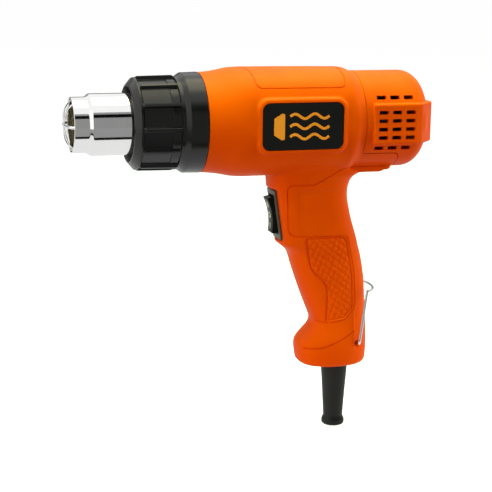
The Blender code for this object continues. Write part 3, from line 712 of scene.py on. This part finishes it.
def gap_to(path, x, z, closed=True):
    """Distance from a point to a path."""
    best = 1e9
    ends = path[1:] + path[:1] if closed else path[1:]
    for (xa, za), (xb, zb) in zip(path, ends):
        dx, dz = xb - xa, zb - za
        t = max(0.0, min(1.0, ((x - xa) * dx + (z - za) * dz) / (dx * dx + dz * dz + 1e-12)))
        best = min(best, math.hypot(x - xa - t * dx, z - za - t * dz))
    return best


# where the grip's sides are shaped: a raised pad for the palm and the sunk field of scales
PALM = eased([(-94.4, -43.4, 4), (-90.6, -72.6, 4), (-56.0, -72.6, 5), (-50.0, -43.4, 8)])
FIELD = eased([(-86.8, -75.0, 1.0), (-81.4, -97.6, 16), (-70.7, -108.4, 12), (-69.7, -134.2, 1.0),
               (-57.2, -131.8, 7), (-50.8, -124.6, 5), (-52.2, -101.0, 50), (-57.4, -75.4, 6)])


def smooth(t):
    """Soft step from 0 to 1."""
    t = max(0.0, min(1.0, t))
    return t * t * (3 - 2 * t)


SCALE_LONG, SCALE_WIDE, SCALE_HIGH = 6.3, 4.3, 0.8
PALM_HIGH, FIELD_DEEP, CHANNEL_DEEP = 0.85, 0.95, 0.9


def scales(x, z):
    """Height of the grip's scales, from 0 in the valleys to 1: long diamonds leaning with the grip."""
    along = (0.294 * (x + 73) - 0.956 * (z + 76)) / SCALE_LONG
    across = (0.956 * (x + 73) + 0.294 * (z + 76)) / SCALE_WIDE
    one, two = math.sin(math.pi * (along + across)), math.sin(math.pi * (along - across))
    return math.sqrt(abs(one * two))


shaped = bmesh.new()
shaped.from_mesh(body.data)
dense = []
for face in shaped.faces:
    x, y, z = face.calc_center_median()
    if abs(y) > 8 and -136 < z < -74 and -88 < x < -46 and inside(FIELD, x, z):
        dense.append(face)
edges = list({edge for face in dense for edge in face.edges})
bmesh.ops.subdivide_edges(shaped, edges=edges, cuts=1, use_grid_fill=True)
for vertex in shaped.verts:
    x, y, z = vertex.co
    sink = 0.0
    if abs(y) < 8 or not -158 < z < -40 or not -98 < x < -36:
        continue
    if inside(PALM, x, z):
        sink = -PALM_HIGH * smooth(gap_to(PALM, x, z) / 1.5) * smooth((-53 - x) / 24) * smooth((z + 73) / 22)
    elif inside(FIELD, x, z):
        depth = gap_to(FIELD, x, z)
        sink = FIELD_DEEP * smooth(depth / 0.7) - SCALE_HIGH * scales(x, z) * smooth((depth - 0.9) / 1.0)
    elif x > -50.6 and z < -118:
        # the channel that the bail's leg folds into
        sink = CHANNEL_DEEP * smooth((x + 50.6) / 1.0) * smooth((-118 - z) / 14) * smooth((z + 154) / 2.0)
    vertex.co.y = y - math.copysign(sink, y)
shaped.to_mesh(body.data)
shaped.free()

surface = bmesh.new()
surface.from_mesh(body.data)
skin_tree = BVHTree.FromBMesh(surface)
surface.free()


def on_side(x, z, side, deep=0.0):
    """Point on the body's outer surface straight across from (x, z), or a little under it."""
    at, normal = skin_tree.ray_cast(Vector((x, side * 60, z)), Vector((0, -side, 0)))[:2]
    if at is None:
        raise ValueError(f"nothing at x {x:.1f}, z {z:.1f}")
    return at - normal * deep


def on_round(x, angle, deep=0.0):
    """Point on the barrel at x, at an angle from the top towards the left side."""
    out = Vector((0, -math.sin(angle), math.cos(angle)))
    return skin_tree.ray_cast(Vector((x, 0, 0)) + out * 60, -out)[0] - out * deep


def spread(path, step):
    """Points of a path closer together."""
    points = []
    for (xa, za), (xb, zb) in zip(path, path[1:]):
        count = max(1, round(math.hypot(xb - xa, zb - za) / step))
        points += [(xa + (xb - xa) * k / count, za + (zb - za) * k / count) for k in range(count)]
    return points + [path[-1]]


GROOVE, GROOVE_DEEP = 0.44, 0.2
side_lines = [
    # the panel line: along the tongue, down in an S to the switch, down the grip and back over the scales
    eased([(-30.0, -30.2, 0), (-63.0, -30.0, 8), (-82.0, -40.3, 12), (-99.3, -40.3, 4), (-96.9, -74.3, 5),
           (-61.0, -75.0, 0)], 6),
    # round the back of the scales
    eased([(-60.4, -75.0, 0), (-56.4, -75.6, 5), (-51.2, -100.0, 60), (-49.8, -124.0, 6), (-57.5, -132.6, 8),
           (-69.2, -134.6, 10), (-74.6, -134.4, 0)], 6),
    # the base line, from the toe up towards the bail
    eased([(-83.5, -152.2, 0), (-74.0, -151.6, 30), (-60.0, -146.0, 40), (-50.3, -140.4, 0)], 6),
    # the front of the scales
    eased([(-86.9, -76.6, 0), (-81.4, -97.6, 16), (-70.6, -108.6, 12), (-69.7, -133.4, 0)], 6),
]
grooves = []
for side in (-1, 1):
    for path in side_lines:
        grooves.append(wire([on_side(x, z, side, GROOVE_DEEP) for x, z in spread(path, 1.2)], GROOVE, 8))
# the line round the top panel, from one shoulder of the barrel over to the other
top_reach, top_front, top_rear = 26.7, -124.0, -64.8
top_line = eased([(top_rear, -top_reach, 4.0), (top_front, -top_reach, 4.0), (top_front - 2.6, 0.0, 9.0),
                  (top_front, top_reach, 4.0), (top_rear, top_reach, 4.0), (top_rear + 2.0, 0.0, 9.0)])
top_points = [on_round(x, a / 30, GROOVE_DEEP) for x, a in spread(top_line + top_line[:1], 1.2)[:-1]]
grooves.append(wire(top_points, GROOVE, 8, loop=True))

inner = combine("UNION", barrel(SHELL, barrel_front + 3, 0.0, 6.0, 48), grip(SHELL + 0.4, -162.6, 5.0, 36),
                bar((neck_front + 2.5, 0, 0), (barrel_front + 5, 0, 0), 22.4, 48))
neck = bar((neck_front, 0, 0), (barrel_front + 1.5, 0, 0), 27.9, 96)
# what the rear cover replaces: everything behind the parting line but the tongue
cover_space = eased([(parting, 70, 0), (parting, -20.3, 2.0), (-24.2, -20.3, 5.0), (-24.2, -70, 0),
                     (10, -70, 0), (10, 70, 0)])
body = combine("DIFFERENCE", body, block((-190, -60, -60), (barrel_front, 60, 60)),
               slab(cover_space, -60, 60))
body = combine("UNION", body, neck)
body = combine("DIFFERENCE", body, inner)

screw_nodes = sorted(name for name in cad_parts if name.startswith("housing_screw_"))
screw_places = []
for node_name in screw_nodes:
    low, high = box_mm(node_name)
    screw_places.append(((low.x + high.x) / 2, (low.z + high.z) / 2))
bail_x, bail_z = -47.5, -149.8
THREAD_HOLE, HEAD_HOLE, BADGE_GAP = 1.9, 3.4, 0.35
inside_wall = combine("UNION", barrel(1.2, barrel_front + 2, -60.0, 6.0, 48), grip(1.2, -164, 5.0, 36))
posts = [bar((x, -40, z), (x, 40, z), 4.6) for x, z in screw_places]
posts += [bar((bail_x, side * 12.2, bail_z), (bail_x, side * 24, bail_z), 3.6) for side in (-1, 1)]
body = combine("UNION", body, combine("INTERSECT", join(*posts), inside_wall))

relief_low, relief_high = box_mm("strain_relief")
relief_x = (relief_low.x + relief_high.x) / 2
cover_screw_low, cover_screw_high = box_mm("cover_screw")
cover_screw_x = (cover_screw_low.x + cover_screw_high.x) / 2
cutters = [
    on_switch(slab(plate_outline(-6, -15.1, 10, 15.1, 0.8, 3), -6.9, 6.9)),
    bar((neck_front - 5, 0, 0), (neck_front + 10, 0, 0), 20.1, 64),
    bar((relief_x, 0, -175), (relief_x, 0, -150), 9.5, 48),
    bar((bail_x, -30, bail_z), (bail_x, 30, bail_z), 1.4),
    bar((cover_screw_x, 0, -40), (cover_screw_x, 0, -25), THREAD_HOLE),
]
for side in (-1, 1):
    cutters.append(slab(plate_outline(badge_low.x - BADGE_GAP, badge_low.z - BADGE_GAP,
                                      badge_high.x + BADGE_GAP, badge_high.z + BADGE_GAP, 5.0),
                        *sorted((side * 34.5, side * 42))))
cutters += grooves
cutters.append(bar((cover_screw_x, 0, -40), (cover_screw_x, 0, -31.9), HEAD_HOLE))
for x, z in screw_places:
    cutters.append(bar((x, -11, z), (x, 40, z), THREAD_HOLE))
    cutters.append(bar((x, 9.0, z), (x, 40, z), HEAD_HOLE))
for side in (-1, 1):
    cutters.append(bar((bail_x, side * 16.2, bail_z), (bail_x, side * 30, bail_z), (2.5, 3.1)))
for cutter in cutters:
    body = combine("DIFFERENCE", body, cutter)

orange = moulded("orange_nylon", (0.84, 0.080, 0.0), (0.78, 0.067, 0.0), 0.40, 0.006, 0.07, (1.0, 0.62, 0.06))
SEAM = 0.06
for half_name, half_node, y_low, y_high in (("left_half", "housing_left", -50, -SEAM),
                                            ("right_half", "housing_right", SEAM, 50)):
    half = combine("INTERSECT", copy(body), block((-200, y_low, -200), (20, y_high, 60)))
    finish(half_name, half, orange, "gun_body", half_node, slot="orange_plastic")
bpy.data.objects.remove(body)


# Badges: gloss black plates pressed into the pads on both sides of the barrel, each with a plain
# printed sign for hot air, three waves blown from a small outlet.
gloss = Look("gloss_badge", Specular_IOR_Level=0.25)
wipe = gloss.noise(0.12, 4.0, (1, 1, 3))
gloss.set(Base_Color=gloss.blend(wipe, (0.003, 0.003, 0.003), (0.006, 0.006, 0.006)),
          Roughness=0.13 + wipe * 0.14)
gloss.bumps((gloss.noise(0.05, 1.0), 0.02))
print_ink = moulded("badge_print", (0.95, 0.30, 0.02), (0.90, 0.26, 0.015), 0.34, 0.003)
BADGE_BACK, BADGE_FACE, SIGN_BACK, SIGN_FACE = 34.9, 35.68, 35.5, 35.76
WAVE_LONG, WAVE_HIGH, WAVE_APART, WAVE_STEPS, WAVE_HALF = 26.0, 1.5, 6.4, 20, 0.85
badge_middle = (badge_low + badge_high) / 2
outlet = [(-19.5, -5.2), (-14.5, -8.2), (-12.4, -8.2), (-12.4, 8.2), (-14.5, 8.2), (-19.5, 5.2)]
for side, badge_node in ((-1, "badge_left"), (1, "badge_right")):
    outline = plate_outline(badge_low.x, badge_low.z, badge_high.x, badge_high.z, 4.7, 12)
    plate = bevelled(slab(outline, *sorted((side * BADGE_BACK, side * BADGE_FACE))), 0.25, 3)
    finish(badge_node + "_plate", plate, gloss, "gun_body", badge_node, slot="black_plastic")
    sign_depth = sorted((side * SIGN_BACK, side * SIGN_FACE))
    strokes = []
    for row in (1, 0, -1):
        upper, lower = [], []
        for k in range(2 * WAVE_STEPS + 1):
            x = badge_middle.x - 9.0 + k * WAVE_LONG / (2 * WAVE_STEPS)
            z = badge_middle.z + row * WAVE_APART + WAVE_HIGH * math.sin(math.tau * k / WAVE_STEPS)
            slope = WAVE_HIGH * math.cos(math.tau * k / WAVE_STEPS) * math.tau * 2 / WAVE_LONG
            across = Vector((-slope, 1.0)).normalized() * WAVE_HALF
            upper.append((x + across.x, z + across.y))
            lower.append((x - across.x, z - across.y))
        strokes.append(slab(upper + lower[::-1], *sign_depth))
    mouth = eased([(badge_middle.x + x, badge_middle.z + z, 0.8) for x, z in outlet])
    strokes.append(slab(mouth, *sign_depth))
    finish(badge_node + "_sign", join(*strokes), print_ink, "gun_body", slot="orange_plastic")


# Housing screws: pan-head thread-forming screws, zinc plated, driven from the right side, each at
# the bottom of its counterbore.
SHANK, PITCH, CREST, ROOT = 1.6, 0.45, 1.0, 0.80
CROSS_LONG, CROSS_WIDE, CROSS_DEEP = 1.75, 0.42, 1.35


def screw(seat, tip, head_radius, head_deep):
    """Screw along +Y from its tip to its head, which sits at seat, with a cross recess."""
    thread = [(tip, 0.25)]
    thread += [(tip + 2 + i * PITCH, CREST if i % 2 else ROOT) for i in range(int((seat - tip - 3) / PITCH))]
    thread.append((seat + 0.3, 0.95))
    shank = skin([[(SHANK * f * math.cos(t), y, SHANK * f * math.sin(t)) for t in spokes(20)]
                  for y, f in thread])
    profile = [(0.0, head_radius * 0.96), (0.3, head_radius), (head_deep * 0.55, head_radius * 0.97),
               (head_deep * 0.88, head_radius * 0.80), (head_deep, head_radius * 0.45)]
    head = skin([[(r * math.cos(t), seat + y, r * math.sin(t)) for t in spokes(32)] for y, r in profile])
    made = combine("UNION", head, shank)
    for turn in (0, math.pi / 2):
        wing = block((-CROSS_LONG, seat + head_deep - CROSS_DEEP, -CROSS_WIDE),
                     (CROSS_LONG, seat + 5, CROSS_WIDE))
        wing.data.transform(Matrix.Rotation(turn, 4, "Y"))
        made = combine("DIFFERENCE", made, wing)
    return made


for (x, z), node_name in zip(screw_places, screw_nodes):
    low, high = box_mm(node_name)
    made = screw(high.y - 2.2, low.y + 0.05, 3.05, 2.1)
    made.data.transform(Matrix.Translation((x, 0, z)) @ Matrix.Rotation(0.4 * x, 4, "Y"))
    finish(node_name + "_piece", made, zinc, "gun_body", node_name, slot="steel", sharp=28)


# Rear cover: a vented cup over the fan and motor, with a cross box that the gun stands on, nose
# up. Air comes in through the slots on both sides.
DOME_RADIUS, DOME_ROUND, DOME_END = 31.9, 12.5, -4.8
BOX_PLAN = [(-46.0, 33.0), (-17.0, 33.0), (-12.5, 31.6), (0.0, 18.0)]


def cup(inset, steps=20):
    """The cover's dome with its cross box, made smaller by inset."""
    radius, end = DOME_RADIUS - inset, DOME_END - inset
    turns = [math.pi / 2 * i / steps for i in range(steps + 1)]
    arc = [(end - DOME_ROUND + DOME_ROUND * math.cos(t), radius - DOME_ROUND + DOME_ROUND * math.sin(t))
           for t in turns]
    dome = skin([[(x, r * math.cos(t), r * math.sin(t)) for t in spokes(120)]
                 for x, r in [(cover_front - 4 - inset, radius)] + arc[::-1]])
    half = [(x + (inset if x < -40 else -inset), y - inset) for x, y in BOX_PLAN]
    plan = half + [(x, -y) for x, y in reversed(half)]
    box = skin([[(x, y, z) for x, y in plan] for z in (-13.8 + inset, 12.6 - inset)])
    return combine("UNION", dome, bevelled(box, 1.1, 3))


cover = melt(cup(0), VOXEL * 0.75, 5)
cover = combine("DIFFERENCE", cover, cup(SHELL, 8), block((-80, -50, -50), (cover_front, 50, 50)))
tongue_space = eased([(-80, -19.85, 0), (parting + 0.3, -19.85, 2.0), (-23.75, -19.85, 5.4), (-23.75, -60, 0),
                      (-80, -60, 0)])
SLOT_LONG, SLOT_HALF, SLOT_STEP_X, SLOT_STEP_Z = 6.6, 1.25, 9.35, 5.4
slots = []
for slot_z in [16.2] + [7.1 - SLOT_STEP_Z * row for row in range(4)] + [-16.4]:
    for column in range(3):
        slot_x = -43.1 + SLOT_STEP_X * column - (0.6 if slot_z < -10 else 0)
        outline = plate_outline(slot_x, slot_z - SLOT_HALF, slot_x + SLOT_LONG, slot_z + SLOT_HALF, 0.55, 3)
        slots.append(slab(outline, -50, 50))
cover = combine("DIFFERENCE", cover, slab(tongue_space, -50, 50), join(*slots))
finish("vented_cover", cover, orange, "gun_body", "rear_cover", slot="orange_plastic")
low, high = box_mm("cover_screw")
made = screw(0.0, -(high.z - low.z) + 2.1, 3.0, 2.0)
made.data.transform(Matrix.Translation((cover_screw_x, 0, low.z + 2.05))
                    @ Matrix.Rotation(-math.pi / 2, 4, "X"))
finish("cover_screw_piece", made, zinc, "gun_body", "cover_screw", slot="steel", sharp=28)


# Collar: a glass-filled black ring that turns on the neck and carries the outlet tube. Twelve thin
# ribs give grip between its front cone and its wide rear band.
COLLAR_RIBS, RIB_PHASE, RIB_HALF, RIB_HIGH, FLAT_DEEP = 12, 0.05, 0.75, 0.8, 1.1
PANEL_FRONT, PANEL_REAR, GRIPPING_RADIUS = -195.7, -171.4, 28.6
collar_black = moulded("glass_filled_nylon", (0.0022, 0.0022, 0.0020), (0.0012, 0.0012, 0.0011), 0.24,
                       0.003, 0.5)
OUTER = [(-200.8, 24.3, 0.3), (-200.4, 25.2, 0.5), (-197.0, 29.2, 1.0), (-169.4, 29.7, 0.8),
         (-166.2, 31.9, 0.8), (-155.2, 32.2, 0.5)]
INNER = [(-155.2, 28.4, 0.3), (-177.0, 28.4, 0.3), (-177.0, 21.2, 0.3), (-187.0, 21.2, 0.5),
         (-200.8, 24.0, 0.15)]


def ribbed(x, turn, radius):
    """Radius of the collar with its ribs and the flats between them."""
    inside_panel = smooth((x - PANEL_FRONT) / 0.8) * smooth((PANEL_REAR - x) / 0.8)
    step = math.tau / COLLAR_RIBS
    across = ((turn / step - RIB_PHASE + 0.5) % 1.0 - 0.5) * step
    rib = 1 - smooth((abs(across) * radius - RIB_HALF) / 0.8)
    flat = radius * (math.cos(step / 2) / math.cos(step / 2 - abs(across)) - 1.0) * 0.8
    return radius + inside_panel * (RIB_HIGH * rib + (1 - rib) * (flat - FLAT_DEEP))


# around one rib: close steps over the rib and its flanks, wide ones over the flat
close, wide = ((30, 16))
FLANK = 0.075
sector = [-FLANK + 2 * FLANK * k / close for k in range(close)]
sector += [FLANK + (math.tau / COLLAR_RIBS - 2 * FLANK) * k / wide for k in range(wide)]
turns = [(i + RIB_PHASE) * math.tau / COLLAR_RIBS + offset for i in range(COLLAR_RIBS) for offset in sector]
profile = eased(OUTER + INNER, 5)
dense = []
for (xa, ra), (xb, rb) in zip(profile, profile[1:] + profile[:1]):
    gripping = min(ra, rb) > GRIPPING_RADIUS
    count = max(1, round(math.hypot(xb - xa, rb - ra) / 0.6)) if gripping else 1
    dense += [(xa + (xb - xa) * k / count, ra + (rb - ra) * k / count) for k in range(count)]
rings = []
for x, radius in dense:
    ring = []
    for turn in turns:
        r = ribbed(x, turn, radius) if radius > GRIPPING_RADIUS else radius
        ring.append((x, -r * math.sin(turn), r * math.cos(turn)))
    rings.append(ring)
finish("grip_collar", skin(rings, loop=True), collar_black, "collar", "front_collar", slot="black_plastic")


# Outlet: a drawn steel tube, chromed, stepped down at its tip, with a wire guard across its mouth.
chrome = Look("chrome_plate", Metallic=1.0)
swirl = chrome.noise(0.5, 3.0, (6, 1, 1))
stain = chrome.noise(0.06, 3.0)
chrome.set(Base_Color=chrome.blend(stain, (0.85, 0.85, 0.845), (0.94, 0.94, 0.935)),
           Roughness=0.045 + swirl * 0.035 + stain * 0.03)
chrome.bumps((swirl, 0.0016))
tip_x, step_x = box_mm("nozzle_tube")[0].x, -225.5
TUBE = [(tip_x, 16.5, 0.45), (tip_x, 17.6, 0.5), (step_x - 2.0, 17.6, 2.2), (step_x + 0.6, 19.6, 1.8),
        (-172.6, 19.6, 0.3), (-172.6, 22.0, 0.2), (-170.6, 22.0, 0.2), (-170.6, 18.6, 0.2),
        (step_x + 1.0, 18.6, 1.0), (step_x - 1.6, 16.5, 1.0)]
tube_sides = 160
tube = skin([[(x, r * math.cos(t), r * math.sin(t)) for t in spokes(tube_sides)] for x, r in eased(TUBE, 8)],
            loop=True)
finish("outlet_tube", tube, chrome, "gun_body", "nozzle_tube", slot="chrome", sharp=50)

GUARD_REACH, GUARD_RISE, SPANS, HOOP_RADIUS = 15.7, 5.0, 3, 15.4
hoop = skin([[(tip_x + 1.0 + 0.8 * math.cos(u), (HOOP_RADIUS + 0.6 * math.sin(u)) * math.cos(t),
               (HOOP_RADIUS + 0.6 * math.sin(u)) * math.sin(t)) for u in spokes(14)] for t in spokes(96)],
            loop=True)
guard = [hoop]
for i in range(SPANS):
    turn = math.pi * i / SPANS
    out, flank = Vector((0, math.cos(turn), math.sin(turn))), Vector((0, -math.sin(turn), math.cos(turn)))
    rings = []
    for k in range(41):
        s = -1 + k / 20
        rise = GUARD_RISE * (1 - abs(s) ** 2.6) ** 0.62
        centre = Vector((tip_x + 1.15 - rise, 0, 0)) + out * GUARD_REACH * s
        lean = Vector((1, 0, 0)) - out * (1.5 * s ** 3)
        lean.normalize()
        rings.append([centre + flank * 0.92 * math.cos(u) + lean * 0.5 * math.sin(u) for u in spokes(14)])
    guard.append(skin(rings))
made = join(*guard)
foremost = min(vertex.co.x for vertex in made.data.vertices)
made.data.transform(Matrix.Translation((max(0.0, box_mm("nozzle_guard")[0].x - foremost), 0, 0)))
finish("mouth_guard", made, chrome, "gun_body", "nozzle_guard", slot="chrome", sharp=60)


# Switch: a snap-in rocker switch, three positions, its bezel flat on the front of the grip. The
# rocker is a shallow V with a dished face for the finger, and its marks are printed on it.
bezel_grey = moulded("switch_bezel", (0.10, 0.10, 0.098), (0.075, 0.075, 0.074), 0.42, 0.008)
rocker_black = moulded("switch_rocker_black", (0.007, 0.007, 0.0065), (0.004, 0.004, 0.004), 0.27, 0.004,
                       0.10)
bezel = bevelled(slab(plate_outline(-1.7, -16.7, -0.3, 16.7, 0.25, 2), -8.0, 8.0), 0.45, 3)
case = block((-0.7, -6.6, -14.8), (17.0, 6.6, 14.8))
tabs = [block((16.0, -2.4, z - 0.4), (24.0, 2.4, z + 0.4)) for z in (-9.5, 0, 9.5)]
switch_case = combine("UNION", bezel, case, *tabs)
pocket = slab(plate_outline(-5, -13.4, 9.5, 13.4, 0.5, 3), -5.5, 5.5)
switch_case = combine("DIFFERENCE", switch_case, pocket, bar((3.0, -9, 0), (3.0, 9, 0), 1.5))
finish("switch_case", on_switch(switch_case), bezel_grey, "gun_body", "switch_body", slot="black_plastic")

FACE_NEAR, FACE_SLANT, FACE_DISH, FACE_HALF, AXLE_X, SKIRT_RADIUS = -4.3, 1.7, 0.35, 11.6, 3.0, 13.0


def finger_face(z):
    """How far the rocker's face stands out at z, measured up or down from its axle."""
    way = abs(z) / FACE_HALF
    return FACE_NEAR - FACE_SLANT * way ** 1.25 + FACE_DISH * math.sin(math.pi * way)


half = [(FACE_NEAR, 0.0)] + [(finger_face(FACE_HALF * k / 8), FACE_HALF * k / 8) for k in range(1, 9)]
half += [(-5.2, 12.1), (-1.7, 12.15)]
half += [(AXLE_X - SKIRT_RADIUS * math.sin(t), SKIRT_RADIUS * math.cos(t)) for t in (0.24, 0.16, 0.08, 0.0)]
half += [(5.2, 9.0), (7.0, 3.0)]
outline = half + [(x, -z) for x, z in reversed(half[1:])]
rocker = bevelled(slab(outline, -5.15, 5.15), 0.35, 3, 50)
rocker = combine("UNION", rocker, bar((AXLE_X, -6.4, 0), (AXLE_X, 6.4, 0), 1.2))
finish("finger_rocker", on_switch(rocker), rocker_black, "rocker", "switch_rocker", slot="black_plastic")

mark_ink = moulded("switch_marks", (0.80, 0.80, 0.78), (0.72, 0.72, 0.70), 0.5, 0.003)
MARK_AT, RING_RADIUS, RING_WIDE, STROKE_HALF, STROKE_LEAN = 7.2, 1.6, 0.45, 0.5, 0.115
ring_face = finger_face(0.0) - 0.16
marks = [skin([[(ring_face + 0.14 * math.cos(u), (RING_RADIUS + RING_WIDE * math.sin(u)) * math.cos(t),
                 (RING_RADIUS + RING_WIDE * math.sin(u)) * math.sin(t)) for u in spokes(6)]
               for t in spokes(24)], loop=True)]
# two strokes on the upper half for full heat, one on the lower half for low heat
for at_y, at_z in ((-1.1, MARK_AT), (1.1, MARK_AT), (0.0, -MARK_AT)):
    stroke = block((-0.16, at_y - STROKE_HALF, -2.0), (0.12, at_y + STROKE_HALF, 2.0))
    lean = Matrix.Rotation(math.copysign(STROKE_LEAN, -at_z), 4, "Y")
    stroke.data.transform(Matrix.Translation((finger_face(at_z) - 0.04, 0, at_z)) @ lean)
    marks.append(stroke)
finish("rocker_marks", on_switch(join(*marks)), mark_ink, "rocker")


# Hanging bail: one length of chromed spring wire, its ends sprung into the base on both sides, its
# cross part bowed back to hang from a hook.
BAIL_WIRE, BAIL_REACH, BAIL_BEND, BAIL_TOP, BOW_DEEP = 1.0, 20.6, 2.2, (-42.9, -113.0), 8.4
half = [(bail_x, 13.0, bail_z), (bail_x, 17.4, bail_z)]
for k in range(7):
    t = math.pi / 2 * k / 6
    drop = 1 - math.cos(t)
    half.append((bail_x + 0.2 * drop, BAIL_REACH - BAIL_BEND + BAIL_BEND * math.sin(t),
                 bail_z + BAIL_BEND * drop))
half += [(bail_x + s * (BAIL_TOP[0] - bail_x), BAIL_REACH, bail_z + s * (BAIL_TOP[1] - bail_z))
         for s in (0.2, 0.4, 0.6, 0.8, 0.93)]
for k in range(20):
    t = math.pi / 2 * (1 - k / 20)
    half.append((BAIL_TOP[0] + 0.4 + BOW_DEEP * math.cos(t) ** 1.3, BAIL_REACH * math.sin(t) ** 0.8,
                 BAIL_TOP[1]))
bow_middle = (BAIL_TOP[0] + 0.4 + BOW_DEEP, 0, BAIL_TOP[1])
path = half + [bow_middle] + [(x, -y, z) for x, y, z in reversed(half)]
finish("bail_wire", wire(path, BAIL_WIRE, 16), chrome, "bail", "hanging_bail", slot="chrome", sharp=60)


# Cord sleeve: soft vinyl, moulded round the cord's entry. Its flange is trapped inside the base, and
# it tapers down to a rolled lip.
rubber = moulded("sleeve_vinyl", (0.007, 0.007, 0.0065), (0.004, 0.004, 0.0035), 0.46, 0.016)
CORD_BORE = 3.6
SLEEVE = [(-156.0, CORD_BORE, 0.3), (-156.0, 11.0, 0.6), (-160.0, 11.0, 0.6), (-160.0, 9.1, 0.4),
          (-168.0, 9.1, 3.0), (-186.0, 7.8, 20.0), (-205.0, 6.6, 3.0), (-207.6, 7.8, 1.0),
          (relief_low.z, 7.8, 1.4), (relief_low.z, CORD_BORE, 0.8)]
sleeve = skin([[(relief_x + r * math.cos(t), r * math.sin(t), z) for t in spokes(72)]
               for z, r in eased(SLEEVE, 8)], loop=True)
finish("cord_sleeve", sleeve, rubber, "gun_body", "strain_relief", slot="black_rubber")


# The finished gun: its colours are shown as they are lit.
bpy.context.scene.view_settings.view_transform = "Standard"
